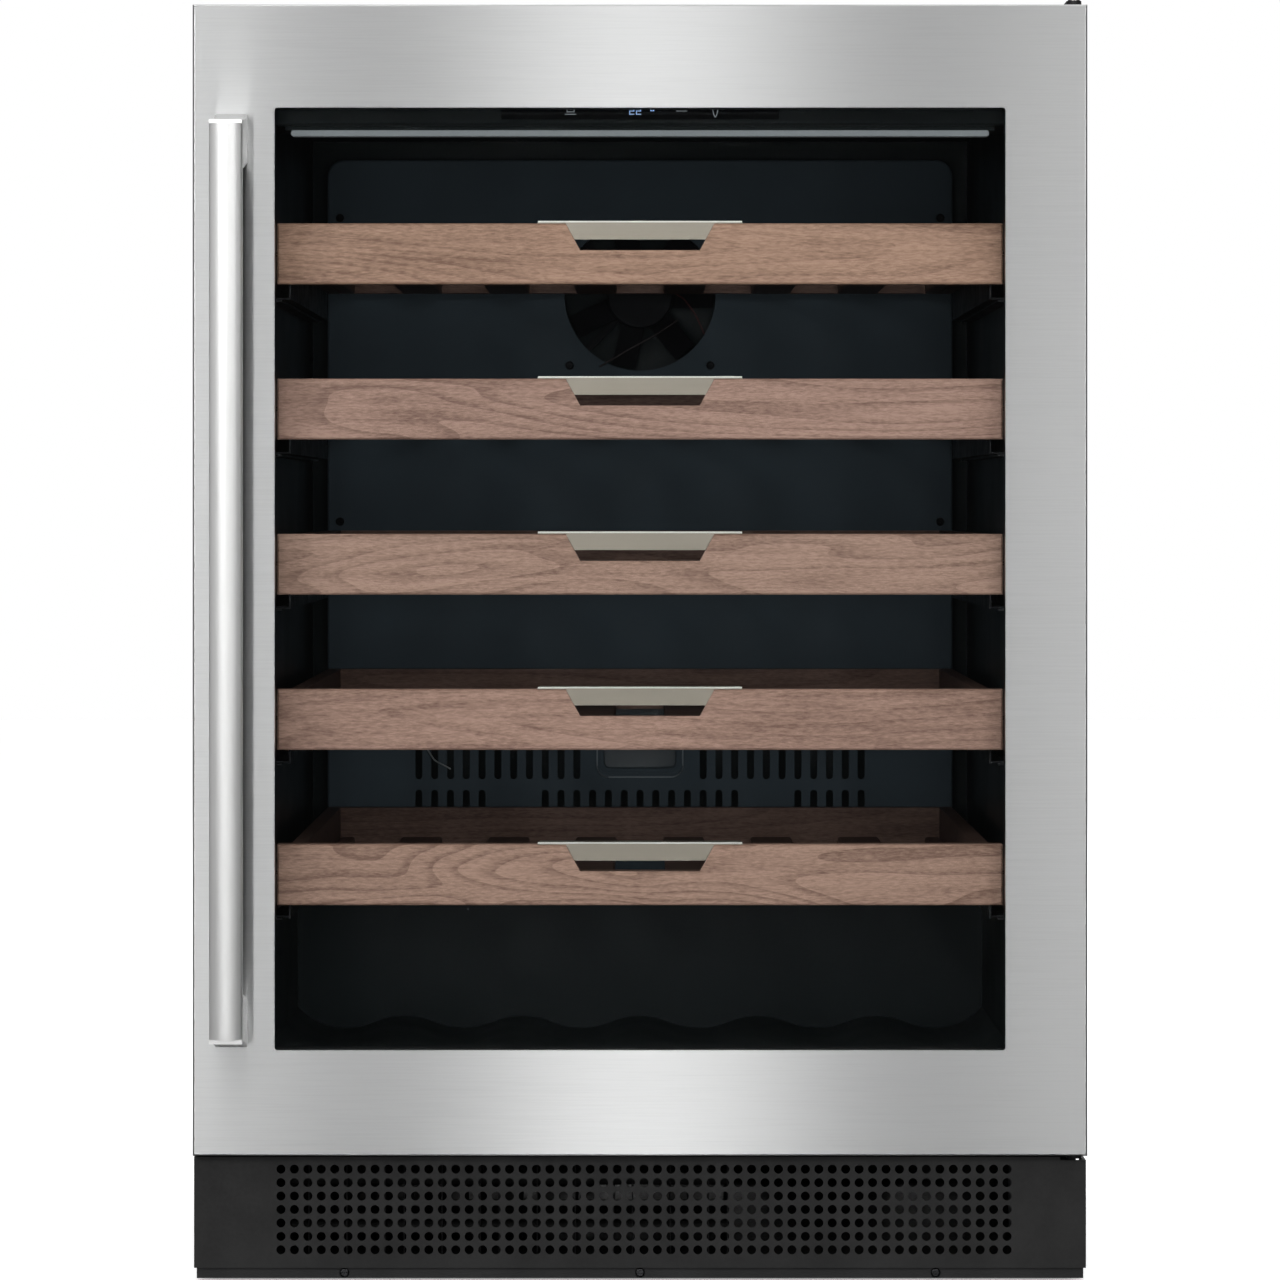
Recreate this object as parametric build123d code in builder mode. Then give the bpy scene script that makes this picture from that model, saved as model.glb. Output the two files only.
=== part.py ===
from build123d import *
import os

os.makedirs("parts", exist_ok=True)

# Millimetres. +X is right as seen from the front, the front faces -Y, +Z is up, z = 0 is the floor.
# Overall sizes
width = 603  # door and toe grille
depth = 655  # front of the handle to the screw heads on the back
door_bottom = 86
door_height = 776

# Door
door_thickness = 42
door_sheet = 1.0
door_edge_radius = 1.5
door_return = 24  # depth of the folded edges of the steel skin
stile = 55.2  # width of the steel beside the window
top_rail = 69.5
bottom_rail = 71.2
window_lip = 3  # depth of the turned-in edge round the window
window_corner = 2
glass_thickness = 4
glass_gap = 14
glass_overlap = 12
glass_fit = 0.3
spacer_margin = 1  # edge of the panes to the spacer
spacer_sight = 3  # edge of the window to the spacer
sight_step = 1.7  # the plastic frame opens this much wider than the window
gasket_gap = 8
gasket_width = 22
gasket_inset = 7
gasket_squeeze = 0.3

# Handle
handle_projection = 50
handle_inset = 25.9  # door edge to handle centre line
handle_width = 21.6
handle_thickness = 14
handle_edge_radius = 1.5
handle_crown = 3.5  # how far the bar's face bulges over its edges
handle_bottom_gap = 82.9  # door bottom to bar end
handle_top_gap = 83.5
bracket_side = 0.2  # the bracket is this much wider than the bar on each side
bracket_lip = 2.7  # cap over the end of the bar
bracket_foot = 34
bracket_neck = 30
bracket_rise = 9.5  # the foot sits this much beyond the end of the bar

# Case, liner and foam
case_reveal = 4  # the case is narrower than the door by this on each side
case_rise = 1  # the case stands this much above the door
case_sheet = 0.8
case_flange = 20
wall = 42
ceiling = 55
rear_wall = 40
liner_sheet = 1.2
cavity_floor = 134
floor_thickness = 40
rib_height = 9
rib_count = 5
rib_end = 35.5  # wall to the lowest line of the outer trough
rib_end_rise = 16
shoulder_along = 0.52  # a point of the wave's curve, as shares of a quarter wave and of its height
shoulder_up = 0.131
overcut = 1
hump_setback = 336  # case front to the face of the compressor hump
hump_rise = 102
hump_foam = 40
hump_radius = 8

# Base
pan_height = 9
pan_sheet = 1.5
pan_flange = 18
rail_drop = 7.5
rail_setback = 16
rail_inset = 1.5
grille_setback = 12
grille_sheet = 2
grille_top_gap = 2
grille_hole = 6.1
grille_pitch = 9.09
grille_shift = 2.7  # the field of holes sits this far right of the middle
grille_columns = 55
grille_rows = 7
grille_first_row = 8.3  # grille top to the first row of holes

# Hinges
hinge_inset = 7.5  # door edge to the pin's axis
hinge_depth = 20  # door face to the pin's axis
hinge_plate = 3
hinge_arm = 10
hinge_leaf = 46
hinge_gap = 0.6
pin_radius = 3
pin_engagement = 10
pin_cap = 2
pin_cap_radius = 4
pin_clearance = 0.05
bush_radius = 5
bush_length = 12
top_screw_inset = 8  # inner end of the plate to its screws
top_screw_steps = (22, 38)  # case front to each screw
leaf_screw_inset = 12
leaf_screw_steps = (4, -14)  # middle of the case's front flange to each screw

# Feet
foot_inset_x = 32
foot_inset_front = 66
foot_inset_rear = 36
foot_radius = 18
foot_pad = 6
foot_stud = 5
foot_stud_length = 42
foot_boss = 9
foot_boss_height = 16
foot_clearance = 0.05

# Rear panel
vent_left_x = -70
vent_length = 150
vent_width = 5
vent_pitch = 14
vent_rows = 9
rear_screw_side = 10
rear_screw_end = 16

# Shelves
shelf_count = 5
lowest_shelf_rise = 56  # top of the compressor hump to the top of the lowest shelf
shelf_pitch = 106.4
shelf_setback = 60  # door face to shelf face
shelf_side_gap = 7  # liner wall to the end of the front board
board_height = 41.5
board_thickness = 18
board_arris = 1.2
tray_side_gap = 15.5  # liner wall to the outside of the tray
tray_length = 420  # back of the front board to the face of the rear rail
tray_rail = 10
tray_rail_height = 30.5
tray_fit = 0.15  # outermost slats to the side rails
rear_rail = 12
slat_count = 8
slat_width = 31
edge_slat = 11  # what is left of the outermost slats beside the side rails
slat_thickness = 8
slat_arris = 1.0
notch_top = 51
notch_bottom = 41
notch_depth = 18.4
pull_drop = 11
pull_sheet = 1.7
pull_width = 141
pull_reach = 16
pull_clearance = 0.2

# Slides
slide_top_drop = 19  # shelf top to the top of the fixed rail
slide_height = 34
slide_sheet = 1.2
slide_flange = 9
slide_clearance = 0.4
slide_front_gap = 0.8  # back of the front board to the fixed rail
slide_rear_gap = 6
runner_flange = 11
runner_inset = 3
runner_hook = 9  # reach of the runner's front end under the board

# Air duct and fans
cover_setback = 530  # door face to the face of the duct cover
cover_side_gap = 13.5
cover_top_gap = 16.4
cover_sheet = 2
cover_corner = 13
cover_seat = 0.3
cover_screw_side = 9.7  # cover's edge to its screws
cover_screw_top = 44.9  # cover's top to the first screws
cover_screw_pitch = 235
cover_screw_rows = 3
slot_width = 5.5
slot_pitch = 12.23
slot_high_z = 332
slot_high_length = 40
slot_low_z = 289
slot_low_length = 30
slot_last = 14
slot_high_first = 4
slot_low_gap = (7, 9)  # the low row has no slots from the first to the last of these
filter_z = 350
filter_half = 28
filter_height = 66
filter_thickness = 4
filter_groove = 3.8
filter_rim = 2.7
filter_recess = 1.2
filter_raise = 1  # the rim stands out of the cover by this
filter_corner = 5
filter_edge_radius = 1
filter_ribs = 5
filter_rib_pitch = 8.35
filter_rib_width = 2.4
filter_rib_height = 40
filter_rib_lift = 3
filter_rib_depth = 1.2
fan_z = 687
fan_size = 120
fan_depth = 25
fan_bore = 58.5
fan_corner = 6
fan_hub = 25.5
fan_hub_length = 17
fan_blades = 7
fan_blade_tip = 56
fan_blade_chord = 22
fan_blade_sheet = 1.6
fan_blade_pitch = 38
fan_struts = 4
fan_strut = 5
fan_shaft = 2
fan_shaft_length = 6
fan_stator_depth = 5
fan_clearance = 0.05
fan_screw_spacing = 109
fan_screw_length = 8
fan_overlap = 2  # struts and blades run this far into what they join
fan_running_gap = 0.5
fan_hub_edge = 2
evaporator_width = 380
evaporator_height = 200
evaporator_low = 390
evaporator_depth = 22
evaporator_step = 2  # back of the fan to the back of the coil
evaporator_tubes = 6
condenser_width = 300
condenser_depth = 150
condenser_height = 66
condenser_x = -90
condenser_setback = 12
condenser_tubes = 4
condenser_layers = 2
coil_fin = 0.8
coil_fins = 24
coil_tube = 4

# Controls and light
panel_setback = 55
panel_depth = 72
panel_drop = 24
panel_sheet = 2
panel_edge_radius = 3
display_width = 190
display_height = 15
display_depth = 1
light_half = 239
light_height = 3.9
light_depth = 12
light_setback = 60
light_carrier = 2.6
carrier_side = 4  # the carrier runs past each end of the light bar
carrier_front = 1
carrier_rear = 2
board_sheet = 1.6
board_low = 0.5  # fascia's floor to the board
board_high = 1
chip_places = (-60, -20, 20, 60)
chip_size = 14
chip_height = 10
chip_depth = 4
chip_lift = 7

# Machine compartment
compressor_x = 140
compressor_setback = 90  # rear of the case to the compressor's axis
compressor_radius = 58
compressor_height = 146
compressor_dome = 26
compressor_plate_x = 190
compressor_plate_y = 110
compressor_plate = 3
mount_height = 12
mount_radius = 9
mount_inset = 14
relay_half = 24
relay_depth = 20
relay_lift = 34
relay_height = 50
drip_width = 150
drip_depth = 110
drip_height = 20
drip_sheet = 1.5
condenser_fan_x = -90
condenser_fan_gap = 3  # hump's foam to the fan
fan_pan_gap = 0.3
pipe_radius = 3
pipe_bend = 12
pipe_clearance = 0.5
pipe_gap = 0.2
port_height = 60  # foot plate to the compressor's ports
port_depth = 0.97  # the discharge port's depth as a share of the shell's radius
discharge_reach = 20
suction_reach = 22
inlet_x = -210
inlet_z = 60
inlet_width = 28
inlet_height = 20
inlet_depth = 22
inlet_clearance = 0.3
inlet_wall = 2
inlet_base = 4
inlet_pins = ((-7, -2), (0, 2), (7, -2))
inlet_pin_width = 2
inlet_pin_height = 4

# Fasteners
screw_head = 2
screw_head_radius = 3.25
screw_shank = 1.9
screw_clearance = 0.1
screw_recess = 1  # width of the cross
rail_screw_x = 200
rail_screw_length = 8

# Places worked out from the sizes above
half_width = width / 2
front = -depth / 2
door_face = front + handle_projection
door_back = door_face + door_thickness
door_top = door_bottom + door_height
window_half = half_width - stile
window_low = door_bottom + bottom_rail
window_high = door_top - top_rail
window_mid = (window_low + window_high) / 2
window_height = window_high - window_low
glass_half = window_half + glass_overlap
glass_height = window_height + 2 * glass_overlap
glass_face = door_face + window_lip
inner_glass_face = glass_face + glass_thickness + glass_gap
glass_back = inner_glass_face + glass_thickness

case_half = half_width - case_reveal
case_front = door_back + gasket_gap
case_back = depth / 2 - screw_head
case_top = door_top + case_rise
case_inner_half = case_half - case_sheet
case_inner_top = case_top - case_sheet
case_inner_back = case_back - case_sheet
liner_half = case_half - wall
liner_outer_half = liner_half + liner_sheet
liner_back = case_back - rear_wall
liner_outer_back = liner_back + liner_sheet
cavity_top = case_top - ceiling
foam_floor = cavity_floor - floor_thickness
hump_face = case_front + hump_setback
hump_top = cavity_floor + hump_rise
compartment_top = hump_top - liner_sheet - hump_foam
pan_top = pan_height + pan_sheet
grille_face = door_face + grille_setback
grille_top = door_bottom - grille_top_gap
hinge_x = half_width - hinge_inset
hinge_y = door_face + hinge_depth

shelf_face = door_face + shelf_setback
board_half = liner_half - shelf_side_gap
board_back = shelf_face + board_thickness
tray_half = liner_half - tray_side_gap
tray_back = board_back + tray_length
lowest_shelf = hump_top + lowest_shelf_rise
shelf_tops = [lowest_shelf + shelf_pitch * step for step in reversed(range(shelf_count))]

cover_face = door_face + cover_setback
cover_half = liner_half - cover_side_gap
cover_top = cavity_top - cover_top_gap
fan_face = cover_face + cover_sheet + cover_seat
fan_back = fan_face + fan_depth
panel_face = door_face + panel_setback
panel_bottom = cavity_top - panel_drop
panel_mid = (panel_bottom + cavity_top) / 2
light_face = door_face + light_setback
compressor_y = case_back - compressor_setback
compressor_low = pan_top + mount_height
condenser_front = case_front + condenser_setback
condenser_low = pan_top + slide_clearance


def facing(y):
    # An upright plane at depth y that looks to the front: local x is X and local y is Z.
    return Plane.XZ.offset(-y)


def block(x_low, x_high, y_low, y_high, z_low, z_high, mode=Mode.ADD):
    # A box given by its limits along X, Y and Z.
    middle = ((x_low + x_high) / 2, (y_low + y_high) / 2, (z_low + z_high) / 2)
    with Locations(middle):
        Box(x_high - x_low, y_high - y_low, z_high - z_low, mode=mode)


def loose_block(x_low, x_high, y_low, y_high, z_low, z_high):
    # A box that is a piece by itself, so that it stays separate from the pieces it touches.
    with BuildPart() as piece:
        block(x_low, x_high, y_low, y_high, z_low, z_high)
    return piece.part


def save(piece, name):
    # Labels a piece and writes it as the node of that name.
    piece.label = name
    export_step(piece, f"parts/{name}.step")


def save_group(pieces, name):
    # Writes several separate solids as one node.
    save(Compound(children=pieces), name)


def cross_screw(plane, shank_length):
    # A pan-head screw with a cross recess, its head on the plane and its shank behind it.
    recess = screw_head_radius * 1.1
    with BuildPart(plane) as screw:
        Cylinder(
            screw_head_radius, screw_head, align=(Align.CENTER, Align.CENTER, Align.MIN)
        )
        fillet(screw.edges().sort_by(Axis(plane.origin, plane.z_dir))[-1], screw_head * 0.6)
        for length, breadth in ((recess, screw_recess), (screw_recess, recess)):
            with Locations((0, 0, screw_head)):
                Box(length, breadth, screw_head, mode=Mode.SUBTRACT)
        Cylinder(
            screw_shank, shank_length, align=(Align.CENTER, Align.CENTER, Align.MAX)
        )
    return screw.part


# Outer case: two side sheets with turned-in front flanges, and a top sheet
def side_sheet(side):
    # One side of the case; side is -1 for the left and 1 for the right.
    outer = side * case_half
    inner = side * case_inner_half
    lip = side * (case_half - case_flange)
    with BuildPart() as sheet:
        block(min(outer, inner), max(outer, inner), case_front, case_inner_back, pan_height, case_inner_top)
        block(
            min(outer, lip),
            max(outer, lip),
            case_front,
            case_front + case_sheet,
            pan_top,
            foam_floor,
        )
    return sheet.part


with BuildPart() as top_sheet:
    block(-case_half, case_half, case_front, case_inner_back, case_inner_top, case_top)
save_group([side_sheet(-1), side_sheet(1), top_sheet.part], "outer_case")


# Rear panel with two fields of vent slots low down and a cut-out for the power inlet
rear_screws = []
for rear_z in (pan_height + rear_screw_end, case_top / 2, case_top - rear_screw_end):
    for rear_x in (-case_half + rear_screw_side, case_half - rear_screw_side):
        rear_screws.append((rear_x, rear_z))
for rear_x in (-case_half / 3, case_half / 3):
    rear_screws.append((rear_x, case_top - rear_screw_end))

with BuildPart() as rear_panel:
    block(-case_half, case_half, case_inner_back, case_back, pan_height, case_top)
    with BuildSketch(facing(case_inner_back)):
        for vent_x in (vent_left_x, compressor_x):
            with Locations((vent_x, (pan_top + compartment_top) / 2)):
                with GridLocations(0, vent_pitch, 1, vent_rows):
                    SlotOverall(vent_length, vent_width)
        with Locations((inlet_x, inlet_z)):
            Rectangle(inlet_width + 2 * inlet_clearance, inlet_height + 2 * inlet_clearance)
        with Locations(*rear_screws):
            Circle(screw_shank + screw_clearance)
    extrude(amount=-case_sheet, mode=Mode.SUBTRACT)
save(rear_panel.part, "rear_panel")


# Liner floor: a wave whose troughs each hold a bottle, with the outer troughs running up the walls
def floor_wave(drop, bottom):
    # The area between a flat bottom and the wave lowered by drop: local x is X and local y is Z.
    span = 2 * (liner_half - rib_end) / rib_count
    quarter = span / 4
    low = cavity_floor - drop
    middle = low + rib_height / 2
    start = -liner_half + rib_end
    with BuildSketch(Plane.XY) as wave:
        with BuildLine():
            Line((-liner_outer_half, bottom), (-liner_outer_half, low + rib_end_rise))
            Line((-liner_outer_half, low + rib_end_rise), (-liner_half, low + rib_end_rise))
            TangentArc((start, low), (-liner_half, low + rib_end_rise), tangent=(-1, 0))
            ThreePointArc(
                (start, low),
                (start + quarter * shoulder_along, low + rib_height * shoulder_up),
                (start + quarter, middle),
            )
            for rib in range(rib_count):
                crest = start + span * (rib + 0.5)
                ThreePointArc((crest - quarter, middle), (crest, low + rib_height), (crest + quarter, middle))
                if rib < rib_count - 1:
                    trough = crest + span / 2
                    ThreePointArc((trough - quarter, middle), (trough, low), (trough + quarter, middle))
            ThreePointArc(
                (-start - quarter, middle),
                (-start - quarter * shoulder_along, low + rib_height * shoulder_up),
                (-start, low),
            )
            TangentArc((-start, low), (liner_half, low + rib_end_rise), tangent=(1, 0))
            Line((liner_half, low + rib_end_rise), (liner_outer_half, low + rib_end_rise))
            Line((liner_outer_half, low + rib_end_rise), (liner_outer_half, bottom))
            Line((liner_outer_half, bottom), (-liner_outer_half, bottom))
        make_face()
    return wave.sketch


cavity_wave = Plane.XZ.offset(-hump_face) * floor_wave(0, cavity_floor - liner_sheet)
under_wave = Plane.XZ.offset(-hump_face - liner_sheet) * floor_wave(liner_sheet, foam_floor)
floor_run = hump_face - case_front
evaporator_face = fan_back + evaporator_step - evaporator_depth
suction_x = compressor_x + compressor_radius + suction_reach
suction_y = evaporator_face + evaporator_depth / 2
suction_hole = pipe_radius + pipe_clearance

with BuildPart() as inner_liner:
    # The skin's outside, stepped over the compressor hump
    with BuildSketch(Plane.YZ):
        with BuildLine():
            Polyline(
                (case_front, cavity_floor - liner_sheet),
                (hump_face + liner_sheet, cavity_floor - liner_sheet),
                (hump_face + liner_sheet, hump_top - liner_sheet),
                (liner_outer_back, hump_top - liner_sheet),
                (liner_outer_back, cavity_top + liner_sheet),
                (case_front, cavity_top + liner_sheet),
                close=True,
            )
        make_face()
    extrude(amount=liner_outer_half, both=True)
    # The cold space inside it
    with BuildSketch(Plane.YZ) as cold_space:
        with BuildLine():
            Polyline(
                (case_front - overcut, cavity_floor),
                (hump_face, cavity_floor),
                (hump_face, hump_top),
                (liner_back, hump_top),
                (liner_back, cavity_top),
                (case_front - overcut, cavity_top),
                close=True,
            )
        make_face()
        fillet(cold_space.vertices().group_by(Axis.X)[1].sort_by(Axis.Y)[-1], hump_radius)
    extrude(amount=liner_half, both=True, mode=Mode.SUBTRACT)
    # The ribbed floor, hollow below so that the foam follows it
    extrude(cavity_wave, amount=floor_run)
    extrude(under_wave, amount=floor_run + liner_sheet, mode=Mode.SUBTRACT)
    # The flange that covers the front of the foam
    with BuildSketch(facing(case_front)):
        with Locations((0, (foam_floor + case_inner_top) / 2)):
            Rectangle(2 * case_inner_half, case_inner_top - foam_floor)
        with Locations((0, (cavity_floor - liner_sheet + cavity_top) / 2)):
            Rectangle(2 * liner_half, cavity_top - cavity_floor + liner_sheet, mode=Mode.SUBTRACT)
    extrude(amount=-liner_sheet)
    # The suction pipe's way through the top of the hump
    with Locations((suction_x, suction_y, hump_top)):
        Hole(suction_hole, depth=liner_sheet)
save(inner_liner.part, "inner_liner")


# Rigid foam between the case and the liner, as the slabs that back each wall
foam_front = case_front + liner_sheet
foam_half = case_inner_half
hump_outer = hump_face + liner_sheet
hump_back = hump_outer + hump_foam
ceiling_outer = cavity_top + liner_sheet

with BuildPart() as floor_foam:
    extrude(under_wave, amount=hump_outer - foam_front)

with BuildPart() as hump_cover_foam:
    block(
        -liner_outer_half,
        liner_outer_half,
        hump_back,
        liner_outer_back,
        compartment_top,
        hump_top - liner_sheet,
    )
    with Locations((suction_x, suction_y, hump_top - liner_sheet)):
        Hole(suction_hole)

save_group(
    [
        loose_block(-foam_half, -liner_outer_half, foam_front, case_inner_back, foam_floor, case_inner_top),
        loose_block(liner_outer_half, foam_half, foam_front, case_inner_back, foam_floor, case_inner_top),
        loose_block(
            -liner_outer_half, liner_outer_half, foam_front, case_inner_back, ceiling_outer, case_inner_top
        ),
        loose_block(
            -liner_outer_half,
            liner_outer_half,
            liner_outer_back,
            case_inner_back,
            compartment_top,
            ceiling_outer,
        ),
        loose_block(
            -liner_outer_half,
            liner_outer_half,
            hump_outer,
            hump_back,
            foam_floor,
            hump_top - liner_sheet,
        ),
        hump_cover_foam.part,
        floor_foam.part,
    ],
    "foam_insulation",
)

# Base pan: sheet floor, front rail folded down, side flanges folded up, four threaded foot bosses
pan_half = case_inner_half
rail_face = door_face + rail_setback
foot_x = case_half - foot_inset_x
foot_places = {
    "front_left": (-foot_x, rail_face + foot_inset_front),
    "front_right": (foot_x, rail_face + foot_inset_front),
    "rear_left": (-foot_x, case_inner_back - foot_inset_rear),
    "rear_right": (foot_x, case_inner_back - foot_inset_rear),
}
foot_centres = list(foot_places.values())
rail_low = pan_height - rail_drop

with BuildPart() as base_pan:
    block(-pan_half, pan_half, rail_face, case_inner_back, pan_height, pan_top)
    block(
        -half_width + rail_inset,
        half_width - rail_inset,
        rail_face,
        rail_face + pan_sheet,
        rail_low,
        pan_height,
    )
    for side in (-1, 1):
        outer = side * pan_half
        inner = side * (pan_half - pan_sheet)
        block(
            min(outer, inner),
            max(outer, inner),
            case_front + case_sheet,
            case_inner_back,
            pan_top,
            pan_top + pan_flange,
        )
    with Locations(*[(x, y, pan_height) for x, y in foot_centres]):
        Cylinder(foot_boss, foot_boss_height, align=(Align.CENTER, Align.CENTER, Align.MIN))
    with Locations(*[(x, y, pan_height + foot_boss_height) for x, y in foot_centres]):
        Hole(foot_stud + foot_clearance)
    with BuildSketch(facing(rail_face)):
        with Locations((0, (rail_low + pan_height) / 2)):
            with GridLocations(rail_screw_x, 1, 3, 1):
                Circle(screw_shank + screw_clearance)
    extrude(amount=-pan_sheet, mode=Mode.SUBTRACT)
save(base_pan.part, "base_pan")

# Levelling feet: a round pad and a threaded stud, drawn at the stud's outside diameter
for name, (x, y) in foot_places.items():
    with BuildPart() as foot:
        with Locations((x, y, 0)):
            Cylinder(foot_radius, foot_pad, align=(Align.CENTER, Align.CENTER, Align.MIN))
        chamfer(foot.edges().filter_by(GeomType.CIRCLE).sort_by(Axis.Z)[-1], foot_pad / 4)
        with Locations((x, y, foot_pad)):
            Cylinder(foot_stud, foot_stud_length, align=(Align.CENTER, Align.CENTER, Align.MIN))
    save(foot.part, f"foot_{name}")

# Toe grille: a folded panel with round perforations and a notch for the lower hinge
notch_low = door_bottom - hinge_gap - hinge_plate - hinge_gap
grille_back = case_front - hinge_plate - hinge_gap
grille_mid = grille_top - grille_first_row - grille_pitch * (grille_rows - 1) / 2
with BuildPart() as toe_grille:
    block(-half_width, half_width, grille_face, grille_back, pan_height, grille_top)
    block(
        -half_width + grille_sheet,
        half_width - grille_sheet,
        grille_face + grille_sheet,
        case_front,
        pan_top + grille_sheet,
        grille_top - grille_sheet,
        mode=Mode.SUBTRACT,
    )
    block(-half_width, half_width, rail_face - hinge_gap, case_front, pan_height, pan_top, mode=Mode.SUBTRACT)
    block(
        hinge_x - hinge_arm,
        half_width,
        grille_face,
        case_front,
        notch_low,
        grille_top,
        mode=Mode.SUBTRACT,
    )
    with BuildSketch(facing(grille_face)):
        with Locations((grille_shift, grille_mid)):
            with GridLocations(grille_pitch, grille_pitch, grille_columns, grille_rows):
                Circle(grille_hole / 2)
    extrude(amount=-grille_sheet, mode=Mode.SUBTRACT)
save(toe_grille.part, "toe_grille")

# Hinges: a plate on the case top and a leaf on the case front, each with an arm that holds a pin
leaf_in = case_half - hinge_leaf
arm_low = hinge_x - hinge_arm / 2
top_plate_low = case_top
leaf_top = door_bottom - hinge_gap
leaf_low = leaf_top - hinge_plate
top_screws = [(leaf_in + top_screw_inset, case_front + step) for step in top_screw_steps]
leaf_screws = [(leaf_in + leaf_screw_inset, foam_floor / 2 + step) for step in leaf_screw_steps]

with BuildPart() as top_hinge:
    block(leaf_in, case_half, case_front, case_front + hinge_leaf, top_plate_low, top_plate_low + hinge_plate)
    block(arm_low, case_half, hinge_y, case_front, top_plate_low, top_plate_low + hinge_plate)
    with Locations((hinge_x, hinge_y, top_plate_low)):
        Cylinder(hinge_arm / 2, hinge_plate, align=(Align.CENTER, Align.CENTER, Align.MIN))
    with Locations((hinge_x, hinge_y, top_plate_low + hinge_plate)):
        Hole(pin_radius)
    with Locations(*[(x, y, top_plate_low + hinge_plate) for x, y in top_screws]):
        Hole(screw_shank + screw_clearance)

with BuildPart() as bottom_hinge:
    block(leaf_in, case_half, case_front - hinge_plate, case_front, pan_top + pan_flange, leaf_top)
    block(arm_low, case_half, hinge_y, case_front, leaf_low, leaf_top)
    with Locations((hinge_x, hinge_y, leaf_low)):
        Cylinder(hinge_arm / 2, hinge_plate, align=(Align.CENTER, Align.CENTER, Align.MIN))
    with Locations((hinge_x, hinge_y, leaf_top)):
        Hole(pin_radius)
    with BuildSketch(facing(case_front - hinge_plate)):
        with Locations(*leaf_screws):
            Circle(screw_shank + screw_clearance)
    extrude(amount=-hinge_plate, mode=Mode.SUBTRACT)
save_group([top_hinge.part, bottom_hinge.part], "hinge_brackets")

with BuildPart() as top_pin:
    with Locations((hinge_x, hinge_y, door_top - pin_engagement)):
        Cylinder(
            pin_radius,
            top_plate_low + hinge_plate - door_top + pin_engagement,
            align=(Align.CENTER, Align.CENTER, Align.MIN),
        )
    with Locations((hinge_x, hinge_y, top_plate_low + hinge_plate)):
        Cylinder(pin_cap_radius, pin_cap, align=(Align.CENTER, Align.CENTER, Align.MIN))
    fillet(top_pin.edges().filter_by(GeomType.CIRCLE).sort_by(Axis.Z)[-1], pin_cap / 2)

with BuildPart() as bottom_pin:
    with Locations((hinge_x, hinge_y, leaf_low)):
        Cylinder(
            pin_radius,
            door_bottom + pin_engagement - leaf_low,
            align=(Align.CENTER, Align.CENTER, Align.MIN),
        )
save_group([top_pin.part, bottom_pin.part], "hinge_pins")

# Door skin: a folded steel frame round the window
with BuildPart() as door_skin:
    block(-half_width, half_width, door_face, door_face + door_return, door_bottom, door_top)
    fillet(door_skin.faces().sort_by(Axis.Y)[0].edges(), door_edge_radius)
    block(
        -half_width + door_sheet,
        half_width - door_sheet,
        door_face + door_sheet,
        door_back,
        door_bottom + door_sheet,
        door_top - door_sheet,
        mode=Mode.SUBTRACT,
    )
    with BuildSketch(facing(glass_face)):
        with Locations((0, window_mid)):
            RectangleRounded(
                2 * (window_half + door_sheet),
                window_height + 2 * door_sheet,
                window_corner + door_sheet,
            )
    extrude(amount=window_lip - door_sheet)
    with BuildSketch(facing(glass_face)):
        with Locations((0, window_mid)):
            RectangleRounded(2 * window_half, window_height, window_corner)
    extrude(amount=window_lip, mode=Mode.SUBTRACT)
    with Locations((hinge_x, hinge_y, door_top)):
        Hole(bush_radius)
save(door_skin.part, "door_skin")

# Glazing: tinted outer pane, clear inner pane and the spacer that seals the gap between them
with BuildPart() as outer_glass:
    with BuildSketch(facing(glass_face + glass_thickness)):
        with Locations((0, window_mid)):
            RectangleRounded(2 * glass_half, glass_height, window_corner)
    extrude(amount=glass_thickness)
save(outer_glass.part, "outer_glass")

with BuildPart() as inner_glass:
    with BuildSketch(facing(glass_back)):
        with Locations((0, window_mid)):
            RectangleRounded(2 * glass_half, glass_height, window_corner)
    extrude(amount=glass_thickness)
save(inner_glass.part, "inner_glass")

with BuildPart() as glass_spacer:
    with BuildSketch(facing(inner_glass_face)):
        with Locations((0, window_mid)):
            Rectangle(2 * (glass_half - spacer_margin), glass_height - 2 * spacer_margin)
            Rectangle(
                2 * (window_half + spacer_sight), window_height + 2 * spacer_sight, mode=Mode.SUBTRACT
            )
    extrude(amount=glass_gap)
save(glass_spacer.part, "glass_spacer")

# Plastic inner frame: fills the skin, clamps the glazing and carries the gasket
frame_half = half_width - door_sheet - glass_fit
frame_low = door_bottom + door_sheet + glass_fit
frame_high = door_top - door_sheet - glass_fit
sight_half = window_half + sight_step
sight_height = window_height + 2 * sight_step
with BuildPart() as door_inner_frame:
    block(-frame_half, frame_half, glass_face, door_back, frame_low, frame_high)
    with BuildSketch(facing(glass_face)):
        with Locations((0, window_mid)):
            Rectangle(2 * (glass_half + glass_fit), glass_height + 2 * glass_fit)
    extrude(amount=glass_face - glass_back, mode=Mode.SUBTRACT)
    with BuildSketch(facing(glass_back)):
        with Locations((0, window_mid)):
            Rectangle(2 * sight_half, sight_height)
    extrude(amount=glass_back - door_back, mode=Mode.SUBTRACT)
    with Locations((hinge_x, hinge_y, frame_high)):
        Hole(bush_radius, depth=bush_length)
    with Locations((hinge_x, hinge_y, frame_low + bush_length / 2)):
        Cylinder(bush_radius, bush_length, mode=Mode.SUBTRACT)
save(door_inner_frame.part, "door_inner_frame")

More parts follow.
